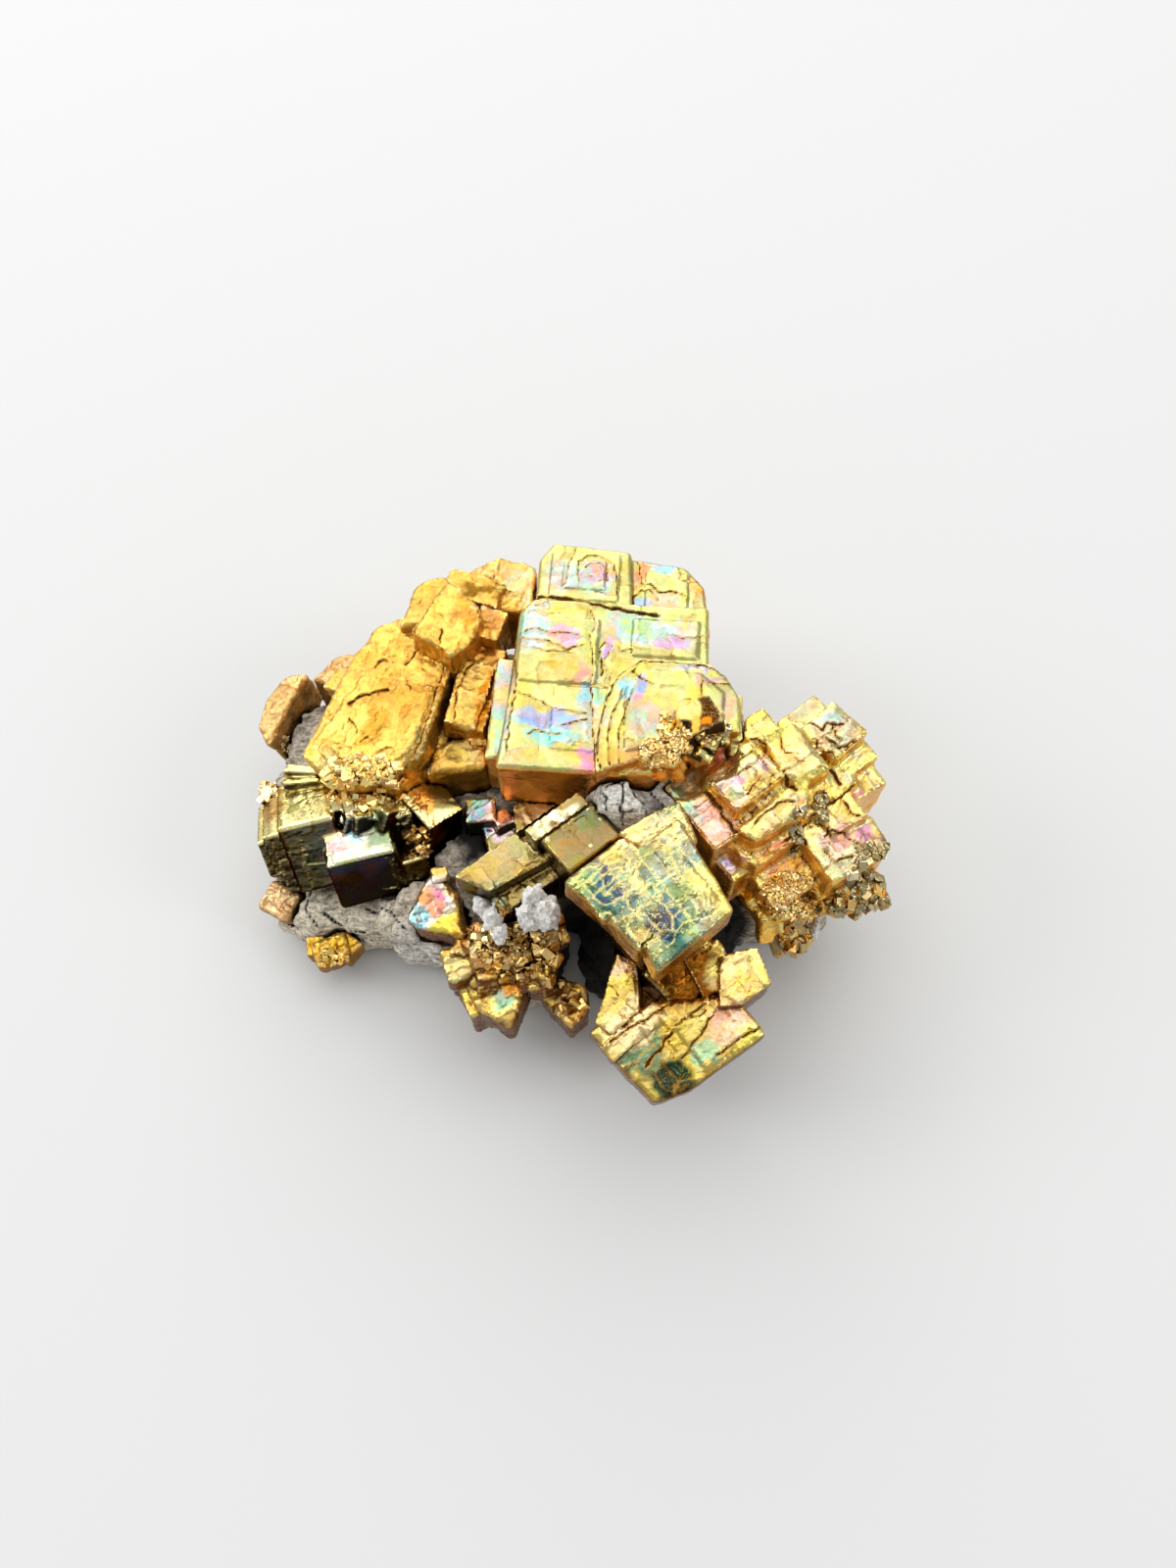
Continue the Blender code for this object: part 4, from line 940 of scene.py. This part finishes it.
def pyrite(name, finish):
    made, add, shader, place = new_material(name, finish.rough, finish.metal)
    shader.inputs["Specular Tint"].default_value = flat_colour(finish.tint)
    turned = along_edges(add, place, finish.turn)
    upward = add("SeparateXYZ", [add("NewGeometry")["Normal"]])["Z"]
    on_top = add("MapRange", [upward, 0.35, 0.75, 0.25, 1.0])[0]
    patchy = add("TexNoise", {"Vector": place, "Scale": 1 / PATCH_SIZE, "Detail": 3})["Fac"]
    level, contour, shelf = hill_contours(add, turned, patchy, finish.block)
    cell = add("TexVoronoi", {"Vector": turned, "Scale": 1 / finish.block}, distance="CHEBYCHEV")
    flake = add("TexVoronoi", {"Vector": turned, "Scale": 1 / FLAKE_SIZE}, distance="MANHATTAN")
    chance = add("SeparateColor", [cell["Color"]])
    colour = film_colour(add, place, turned, chance, shelf, finish.busy)

    # how much shows of the contours, of the pressed lines' borders and cores, and of the pale edges, a
    # painted highlight that stands partly for wear
    grain = add("TexNoise", {"Vector": place, "Scale": 1 / GRAIN_SIZE, "Detail": 5, "Roughness": 0.6})["Fac"]
    from_line = add("Attribute", attribute_name="from_line")["Fac"]
    ragged = add("Math", [grain, 0.2, from_line], operation="MULTIPLY_ADD")[0]
    border = add("MapRange", [ragged, 0.30, 0.12, 0.0, 0.75])[0]
    core = add("MapRange", [ragged, 0.145, 0.095])[0]
    # painted highlight, partly wear: sharp edges are turned pale gold
    bulge = add("NewGeometry")["Pointiness"]
    pale_edge = add("MapRange", [bulge, 0.53, 0.60, 0.0, 0.7])[0]
    contour, border, pale_edge = [add("Math", [amount, on_top], operation="MULTIPLY")[0]
                             for amount in (contour, border, pale_edge)]
    contour = add("Math", [contour, 0.7 * finish.busy], operation="MULTIPLY")[0]
    for amount, over in ((contour, finish.line), (border, finish.line), (pale_edge, EDGE_HIGHLIGHT_GOLD),
                         (core, finish.core)):
        colour = add("Mix", {"Factor": amount, "A": colour, "B": flat_colour(over)}, data_type="RGBA")[2]
    # painted shade, with some dust: where the Ambient Occlusion node finds a hollow, the colour is darkened
    open_air = add("AmbientOcclusion", {"Distance": HOLLOW * MM}, samples=8)["AO"]
    free_of_dust_and_shade = add("MapRange", [open_air, 0.10, 0.50])[0]
    dust_and_shade_mix = add("Mix", {"Factor": free_of_dust_and_shade, "A": flat_colour(finish.dirt), "B": colour}, data_type="RGBA")
    feed(shader, "Base Color", dust_and_shade_mix[2])
    rough = add("MapRange", [patchy, 0.3, 0.7, finish.rough - 0.07, finish.rough + 0.12])
    feed(shader, "Roughness", rough[0])

    below = {}
    for height, high, strength, sinks in (
        # what makes the bump, its height in millimetres, its strength, and whether it sinks
        (level, 0.6 * finish.busy, 0.5, False),
        (lean(add, cell, turned), 0.16 * finish.busy, 1.0, False),
        (lean(add, flake, turned), 0.14 * finish.busy, 1.0, False),
        (core, 0.15, 0.8, True),
        (grain, 0.10 * finish.busy, 0.6, False),
    ):
        bump = add("Bump", {"Height": height, "Distance": high * MM, "Strength": strength, **below},
                   invert=sinks)
        below = {"Normal": bump["Normal"]}
    feed(shader, "Normal", bump["Normal"])
    return made


# %% [markdown]
# Each group has its own finish: the large cube is full of lines and rainbow, the golden plates are
# rough and hardly tinted, and the two dark cubes on the lower left have fronts painted almost
# black, a painted dark reflection, whose glancing reflection is kept brown as well. On the round
# plate sits one small glossy crystal that is dark where the others are gold. Its few facets are
# painted by the way they face, with a painted highlight on one and painted shade on the others.

# %% Dress the crystals
ORANGE_LINE = "#B8741E"
DARK_CORE = "#56340F"
EDGE_CRYSTAL = Finish("#F0C880", 0.05, "#C09A60", "#A07830", -20, 2.0, 1.0, 0.38, 0.8, ORANGE_LINE, DARK_CORE)
FINISHES = {
    # node: colour of the tops, play of colour, colours of the sides and of the fronts, which are painted
    # light and shade, turn, size of the blocks, how busy, roughness, metallic, and the colours of the
    # lines, of their cores, of the dust and painted shade in hollows and of a glancing reflection
    "large_cube_crystals": Finish("#CCC868", 0.12, "#E0A83C", "#FFAE40", CUBE_TURN, 2.6, 0.55,
                                  0.28, 0.95, "#B89040", DARK_CORE, "#8A5A1C"),
    "left_plate_crystals": Finish("#F6C65A", 0.03, "#DEB04C", "#CC9830", PLATE_TURN, 2.2, 0.9,
                                  0.34, 0.9, "#B8761E", DARK_CORE, "#6A4210"),
    "terrace_crystals": Finish("#FAEA7C", 0.14, "#FFD468", "#FFC24C", TERRACE_TURN, 2.2, 0.7,
                               0.26, 0.9, ORANGE_LINE, DARK_CORE, "#B47C28"),
    "central_plate_crystals": Finish("#74885A", 0.08, "#F0B848", "#B47C24", TERRACE_TURN, 2.2, 0.8,
                                     0.20, 1.0, "#F8E690", "#5A5424"),
    "front_cube_crystals": Finish("#D8BC50", 0.08, "#C08828", "#7A480A", TERRACE_TURN, 2.2, 0.7,
                                  0.22, 1.0, "#B88428", DARK_CORE, "#5A3410"),
    "lower_left_crystals": Finish("#FFF0A4", 0.06, "#5C420E", "#1A0D02", LEANING_TURN, 2.2, 0.35,
                                  0.18, 1.0, "#8A6418", "#1C1204", "#3A220A", "#C8A478"),
    "middle_crystals": Finish("#9C8434", 0.06, "#7A5E1C", "#4A380E", TERRACE_TURN, 2.2, 0.4,
                              0.20, 0.95, "#8A6418", "#1C1204"),
    "front_druse_crystals": Finish("#E0B84C", 0.08, "#9E6C1C", "#7A450C", 20, 1.2, 0.7,
                                   0.26, 0.9, "#A86818", DARK_CORE),
    "left_edge_low_crystal": EDGE_CRYSTAL,
    "left_edge_high_crystal": EDGE_CRYSTAL._replace(base="#ECC07C"),
    "edge_gold_crystals": Finish("#EEC03C", 0.05, "#B47C18", "#A06C10", 24, 1.2, 1.0,
                                 0.32, 0.9, ORANGE_LINE, DARK_CORE),
    "edge_peach_crystal": Finish("#F2CE92", 0.06, "#C8A068", "#A88450", -30, 1.4, 1.0,
                                 0.38, 0.7, "#B87844", DARK_CORE),
}
DARK_CRYSTAL = (10.9, 2.6, 2.9, 25.5)   # middle, radius and foot of the glossy crystal on the plate
GLOSSY_FACETS = [
    # the way a facet faces, and its painted colour: a highlight on the first, shade on the rest
    ((-0.8, -0.4, 0.3), "#F0BC48"), ((0.7, -0.7, 0.3), "#3A1E06"),
    ((-0.3, -1.0, 0.2), "#2A1604"), ((1.0, 0.3, 0.3), "#8A4A0C"),
]


def paint_facets(piece, middle_x, middle_y, radius, foot, facets):
    """Paints light and shade on the sides of a small crystal, a colour for each by the way it faces."""
    points, normals = read_points(piece, "co"), read_points(piece, "normal")
    inside = np.hypot(points[:, 0] - middle_x, points[:, 1] - middle_y) < radius
    inside &= (points[:, 2] > foot) & (normals[:, 2] < 0.75)
    looks = np.array([Vector(way).normalized() for way, _ in facets])
    nearest = np.argmax(normals[inside] @ looks.T, axis=1)
    film = piece.data.attributes["film"]
    colours = np.empty(len(points) * 4, np.float32)
    film.data.foreach_get("color", colours)
    colours = colours.reshape(-1, 4)
    colours[inside] = np.array([[*linear(colour), 0.0] for _, colour in facets])[nearest]
    film.data.foreach_set("color", colours.ravel())


for number, (node, finish) in enumerate(FINISHES.items()):
    piece = pieces[node]
    sides = finish.side, finish.side_front
    paint(piece, finish.base, finish.play, sides, finish.turn, SPOTS.get(node, []), number + 1)
    # painted highlight and painted shade on the facets of the glossy crystal
    if node == "large_cube_crystals":
        paint_facets(piece, *DARK_CRYSTAL, GLOSSY_FACETS)
    piece.data.materials.append(pyrite("tarnished pyrite, " + node, finish))
    pick(piece)
    bpy.ops.object.shade_smooth_by_angle(angle=math.radians(40))
    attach(piece, "root")
    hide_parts(node)
    print("dressed", node)


# %% [markdown]
# ## Druse
#
# Where many crystals start to grow at once none gets large, and they make a sparkling crust called
# a druse. One small cube with cut edges is modelled, and copied: each copy is a little longer or
# flatter, leans its own way and is sunk into the crystal below it. To find that crystal, a ray is
# sent straight down onto the dressed pieces. Every copy has its own colour, and they are joined to
# one piece for each patch. Particles could scatter them too, but a loop is easier to steer.

# %% One grain
CUT = 0.2         # how far its edges are cut back, over half its width
UNEVEN = 0.13     # how far a corner strays, over half its width

bpy.ops.mesh.primitive_cube_add(size=2 * MM)
grain = bpy.context.object
bpy.ops.object.mode_set(mode="EDIT")
bpy.ops.mesh.select_all(action="SELECT")
bpy.ops.mesh.bevel(offset=CUT * MM, segments=1)
bpy.ops.object.mode_set(mode="OBJECT")
graph = bpy.context.evaluated_depsgraph_get()
grounds = [BVHTree.FromObject(piece, graph) for piece in pieces.values()]
print("grain faces:", len(grain.data.polygons))


# %% Sow the grains
Patch = namedtuple("Patch", "x y across deep count small large tilt colours")


def ground_below(x, y):
    """Where a ray from above first meets the dressed crystals, and which way that face looks."""
    hits = [ground.ray_cast(Vector((x, y, 60)) * MM, Vector((0, 0, -1)))[:2] for ground in grounds]
    hits = [hit for hit in hits if hit[0]]
    return max(hits, key=lambda hit: hit[0].z) if hits else None


def set_grain(spot, up_here, patch, chance):
    """One copy of the grain, sunk into the ground at this spot and leaning its own way."""
    size = chance.uniform(patch.small, patch.large) / 2
    shape = [size * chance.uniform(0.75, 1.25) for _ in range(3)]
    leaning = Vector([chance.gauss(0, patch.tilt) for _ in range(3)])
    turn = (up_here + leaning).normalized().to_track_quat("Z", "Y").to_matrix().to_4x4()
    spin = Matrix.Rotation(chance.uniform(0, math.pi), 4, "Z")
    place = Matrix.Translation(spot - up_here * size * MM * chance.uniform(0.1, 0.5))
    copy = bpy.data.objects.new("grain", grain.data.copy())
    for corner in copy.data.vertices:
        corner.co += Vector([chance.gauss(0, UNEVEN) for _ in range(3)]) * MM
    copy.data.transform(place @ turn @ spin @ Matrix.Diagonal((*shape, 1)))
    bright = chance.uniform(0.75, 1.15)
    colour = [part * bright for part in linear(chance.choice(patch.colours))]
    film = copy.data.attributes.new("film", "FLOAT_COLOR", "POINT")
    film.data.foreach_set("color", [*colour, 1] * len(copy.data.vertices))
    bpy.context.scene.collection.objects.link(copy)
    return copy


def sow(name, patches, seed):
    """Grains over these patches, joined to one piece."""
    chance = random.Random(seed)
    sown = []
    for patch in patches:
        for _ in range(patch.count):
            angle, away = chance.uniform(0, 2 * math.pi), math.sqrt(chance.random())
            hit = ground_below(patch.x + patch.across * away * math.cos(angle),
                               patch.y + patch.deep * away * math.sin(angle))
            if hit:
                sown.append(set_grain(*hit, patch, chance))
    bpy.ops.object.select_all(action="DESELECT")
    for copy in sown:
        copy.select_set(True)
    bpy.context.view_layer.objects.active = sown[0]
    bpy.ops.object.join()
    sown[0].name = sown[0].data.name = name
    print(name, len(sown), "grains")
    return sown[0]


# %% [markdown]
# The grains are younger than the big crystals and hardly tarnished. Their material gives the eye a
# glitter: clean metal facets, each its own shade of gold, bronze or grey, with a painted highlight
# at the edges and painted shade in the gaps between them.

# %% Druse material
STREAK_SIZE = 0.5     # size of the fine waves on a facet
# the dark between the grains is painted shade
GAP = 1.2             # how far the dark between the grains reaches


def druse_pyrite(name, rough):
    made, add, shader, place = new_material(name, rough, 1.0)
    film = add("Attribute", attribute_name="film")["Color"]
    # painted highlight: sharp edges turn pale; painted shade: the gaps that the Ambient Occlusion node finds
    # turn dark
    bulge = add("NewGeometry")["Pointiness"]
    edge = add("MapRange", [bulge, 0.52, 0.62, 0.0, 0.4])[0]
    edged = add("Mix", {"Factor": edge, "A": film, "B": flat_colour("#FFE9A8")}, data_type="RGBA")
    open_air = add("AmbientOcclusion", {"Distance": GAP * MM}, samples=8)["AO"]
    free_of_dust_and_shade = add("MapRange", [open_air, 0.15, 0.65])[0]
    dust_and_shade_mix = add("Mix", {"Factor": free_of_dust_and_shade, "A": flat_colour("#5A3410"), "B": edged[2]}, data_type="RGBA")
    feed(shader, "Base Color", dust_and_shade_mix[2])
    streak = add("TexNoise", {"Vector": place, "Scale": 1 / STREAK_SIZE, "Detail": 4})["Fac"]
    bump = add("Bump", {"Height": streak, "Distance": 0.1 * MM, "Strength": 0.6})
    feed(shader, "Normal", bump["Normal"])
    return made


# %% Patches of druse
GOLDS = ("#FFD868", "#F8C450", "#ECA838", "#D88C24", "#FFEC98")
BROWNS = ("#B47C2C", "#8A5A1C", "#E0A848", "#5E3A14", "#F4C468", "#7A4C18")
PEACHES = ("#F8D898", "#ECC080", "#DCA868", "#FFE8B4", "#C89048")
GREYS = ("#7C7464", "#4C4438", "#988868", "#D0C4A8", "#3A2E20")
DRUSES = {
    # name: slot, roughness, and its patches: middle, half width, half depth, how many grains,
    # smallest and largest, how much they tilt, and their colours
    "druse_front": ("pyrite_bronze", 0.2, [
        (-6.7, -13.2, 3.2, 2.2, 230, 0.3, 0.8, 0.5, BROWNS + GOLDS + PEACHES + PEACHES),
        (-2.7, -13.2, 1.4, 2.2, 40, 0.6, 1.3, 0.5, BROWNS),
        (-5.3, -15.2, 2.4, 1.3, 70, 0.35, 0.9, 0.5, BROWNS),
        (-0.7, -17.0, 1.8, 1.8, 16, 0.7, 1.3, 0.4, BROWNS),
        (-10.2, -6.9, 1.4, 0.9, 24, 0.4, 0.9, 0.5, GREYS + PEACHES),
    ]),
    "druse_right": ("pyrite_bronze", 0.2, [
        (19.7, -9.8, 2.7, 1.9, 560, 0.2, 0.42, 0.7, PEACHES + GOLDS + PEACHES),
        (27.3, -9.8, 3.1, 2.1, 190, 0.4, 1.0, 0.5, BROWNS + GREYS + GREYS),
        (27.5, -7.0, 2.1, 1.3, 80, 0.3, 0.7, 0.5, GREYS),
        (21.0, -12.7, 1.4, 1.7, 60, 0.4, 1.0, 0.4, BROWNS),
        (24.3, -10.9, 1.8, 1.5, 40, 0.4, 1.0, 0.5, GREYS + BROWNS),
        (22.6, -2.6, 0.6, 1.6, 60, 0.25, 0.6, 0.5, GREYS),
        (20.1, -4.9, 0.7, 1.4, 50, 0.25, 0.6, 0.5, GREYS),
    ]),
    "druse_left": ("pyrite_warm_gold", 0.26, [
        (-20.2, 0.9, 3.9, 1.7, 330, 0.3, 1.0, 0.5, GOLDS + PEACHES + GOLDS),
        (-15.6, -3.3, 1.5, 1.1, 40, 0.4, 1.0, 0.5, BROWNS),
        (-29.2, 9.5, 2.0, 1.5, 80, 0.3, 0.7, 0.5, PEACHES + GREYS),
        (-24.5, -12.4, 1.5, 0.9, 34, 0.25, 0.6, 0.5, GOLDS),
        (-31.6, 2.6, 0.8, 1.0, 20, 0.5, 1.0, 0.5, PEACHES),
    ]),
    "druse_plate": ("pyrite_warm_gold", 0.26, [
        (8.0, 0.9, 2.2, 1.5, 680, 0.14, 0.4, 0.5, PEACHES + GOLDS),
        (8.2, 3.5, 0.5, 1.4, 70, 0.3, 0.7, 0.5, GOLDS),
        (11.7, 1.1, 0.9, 0.4, 40, 0.25, 0.55, 0.5, BROWNS),
        (13.6, 2.9, 0.4, 1.0, 40, 0.3, 0.7, 0.5, GREYS + PEACHES),
    ]),
}
for number, (name, (slot, rough, patches)) in enumerate(DRUSES.items()):
    piece = sow(name, [Patch(*row) for row in patches], number + 11)
    piece.data.materials.clear()
    piece.data.materials.append(druse_pyrite("small pyrite crystals, " + name, rough))
    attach(piece, "root")
bpy.data.objects.remove(grain)


# %% [markdown]
# ## Rock, clay and quartz
#
# The crystals grew in a grey, streaky rock that cracks as it dries, with soft white clay left in
# the hollows and a few grains of quartz. None of them is a metal, so their colour is a plain
# Base Color, and their finish gives the eye something to rest on: a dull, powdery surface that
# only takes light and shade. The colour is streaks along one direction, fine specks, pale worn
# corners and dark cracks, and the hollows are darkened with painted shade.

# %% Stone material
BAND_SIZE = 1 / 0.6    # size of the streaks across their length, before they are drawn out
SPECK_SIZE = 0.35
GRIT_HIGH = 0.3        # height of the grit


def stone(name, dark, pale, speckle, rough, streak, grit, hollow):
    """Stone of two shades with specks of a third.

    Its streaks are this many times as long as wide, its grit is of this size and it is darkened with
    painted shade in hollows this wide, both in millimetres.
    """
    made, add, shader, place = new_material(name, rough, 0.0)
    streaky = add("Mapping", {"Vector": place, "Rotation": (0.4, 0.3, 0.6),
                              "Scale": (1 / streak, 1, 2.2)})["Vector"]
    broad = add("TexNoise", {"Vector": streaky, "Scale": 1 / BAND_SIZE, "Detail": 8, "Roughness": 0.7})
    colour = add("ValToRGB", [broad["Fac"]], [(0.34, dark), (0.50, pale), (0.62, dark), (0.70, pale)])[0]
    speck = add("TexNoise", {"Vector": place, "Scale": 1 / SPECK_SIZE, "Detail": 5, "Roughness": 0.8})
    tone = add("ValToRGB", [speck["Fac"]], [(0.38, speckle), (0.52, "#F4F2EE"), (0.66, "#FFFFFF")])[0]
    toned = add("Mix", {"Factor": 1.0, "A": colour, "B": tone}, data_type="RGBA", blend_type="MULTIPLY")[2]
    bulge = add("NewGeometry")["Pointiness"]
    pale_edge = add("MapRange", [bulge, 0.52, 0.60, 0.0, 0.5])[0]
    edged = add("Mix", {"Factor": pale_edge, "A": toned, "B": flat_colour("#F0ECE4")}, data_type="RGBA")[2]
    # the painted colour, which on the rock holds nearly black painted shadow deep in the hollows
    film = add("Attribute", attribute_name="film")["Color"]
    tinted = add("Mix", {"Factor": 1.0, "A": edged, "B": film}, data_type="RGBA", blend_type="MULTIPLY")[2]
    # painted shade: the colour is darkened in the hollows that the Ambient Occlusion node finds, and along
    # the cracks
    open_air = add("AmbientOcclusion", {"Distance": hollow * MM}, samples=8)["AO"]
    from_line = add("Attribute", attribute_name="from_line")["Fac"]
    lit = add("MapRange", [open_air, 0.06, 0.32])[0]
    unbroken = add("MapRange", [from_line, 0.02, 0.14])[0]
    free_of_dust_and_shade = add("Math", [lit, unbroken], operation="MULTIPLY")[0]
    dust_and_shade_mix = add("Mix", {"Factor": free_of_dust_and_shade, "A": flat_colour("#1E1A16"), "B": tinted}, data_type="RGBA")
    feed(shader, "Base Color", dust_and_shade_mix[2])
    fine = add("TexNoise", {"Vector": place, "Scale": 1 / grit, "Detail": 6, "Roughness": 0.7})
    bump = add("Bump", {"Height": fine["Fac"], "Distance": GRIT_HIGH * MM, "Strength": 0.8})
    feed(shader, "Normal", bump["Normal"])
    return made


ROCK_LOOKS = {
    "matrix_rock": stone("grey host rock", "#8C857A", "#FFFCF4", "#A09A90", 0.85, 3.0, 0.5, 2.4),
    "clay_lump_long": stone("white clay", "#F4F0E8", "#FFFFFF", "#D8D4CC", 0.9, 1.2, 0.4, 0.5),
    "clay_lump_round": stone("white clay, crumbly", "#F4F0E8", "#FFFFFF", "#D8D4CC", 0.9, 1.2, 0.4, 0.5),
    "quartz_lump": stone("grey quartz", "#B8B4B0", "#FFFFFF", "#B4B0AA", 0.4, 1.2, 0.4, 0.8),
}
print("stones:", [look.name for look in ROCK_LOOKS.values()])


# %% [markdown]
# What makes a stone of it is a broken shape. Rock breaks along flat facets first, and each facet is
# craggy in turn. So the copy is remeshed, and displaced by a pattern of facets and then by hard
# clouds. In the small window between the cubes the rock is smooth and mud-cracked instead, so
# there the copy is drawn back to the shape it had. Nothing may sink below the table.

# %% Break the rock
ROCKS = {
    # node: size of the mesh squares, swell, craggy height, size of the crags, height of its facets
    "matrix_rock": (0.30, 0.30, 0.6, 1.1, 0.8),
    "clay_lump_long": (0.10, 0.2, 0.7, 0.7, 0.3),
    "clay_lump_round": (0.10, 0.2, 0.8, 0.8, 0.3),
    "quartz_lump": (0.12, 0.1, 0.3, 0.8, 0.5),
}
ROCK_BASES = {"matrix_rock": "#EAE2D6"}
FACET_SIZE = 2.6                 # size of the facets, in crags
CALM_ROCK = (5.2, -2.6, 5.6)     # middle and radius of the window between the cubes
ROCK_STEP = 0.03                 # step in height at a crack


def break_up(piece, square, swell, craggy, crag_size, facet_high):
    """Remeshes a piece and breaks it into facets and crags, save for the calm window."""
    apply_modifier(piece, "REMESH", mode="VOXEL", voxel_size=square * MM)
    smooth = read_points(piece, "co")
    facets = bpy.data.textures.new("broken facets", "VORONOI")
    facets.distance_metric = "MANHATTAN"
    facets.noise_scale = crag_size * FACET_SIZE * MM
    crag = bpy.data.textures.new("crags", "CLOUDS")
    crag.noise_type = "HARD_NOISE"
    crag.noise_scale = crag_size * MM
    crag.noise_depth = 5
    for texture, high, level in ((facets, -facet_high, 0.4), (crag, craggy, 0.5 - swell / craggy)):
        apply_modifier(piece, "DISPLACE", texture=texture, texture_coords="GLOBAL", strength=high * MM,
                       mid_level=level)
    points = read_points(piece, "co")
    x, y, radius = CALM_ROCK
    away = np.hypot(points[:, 0] - x, points[:, 1] - y)
    calm = np.clip(1.5 - away / radius * 1.2, 0, 0.85)[:, None]
    points = points * (1 - calm) + smooth * calm
    points[:, 2] = np.maximum(points[:, 2], 0)
    move_points(piece, points)


for node, breaks in ROCKS.items():
    piece = copy_node(node, "broken_" + node)
    break_up(piece, *breaks)
    press_lines(piece, CRACKS.get(node, []), ROCK_STEP, 9)
    paint(piece, ROCK_BASES.get(node, "#FFFFFF"), 0, (), 0, SPOTS.get(node, []), 9)
    piece.data.materials.append(ROCK_LOOKS[node])
    pick(piece)
    bpy.ops.object.shade_smooth_by_angle(angle=math.radians(50))
    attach(piece, "root")
    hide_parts(node)
    print(node, len(piece.data.polygons) * 2, "triangles")
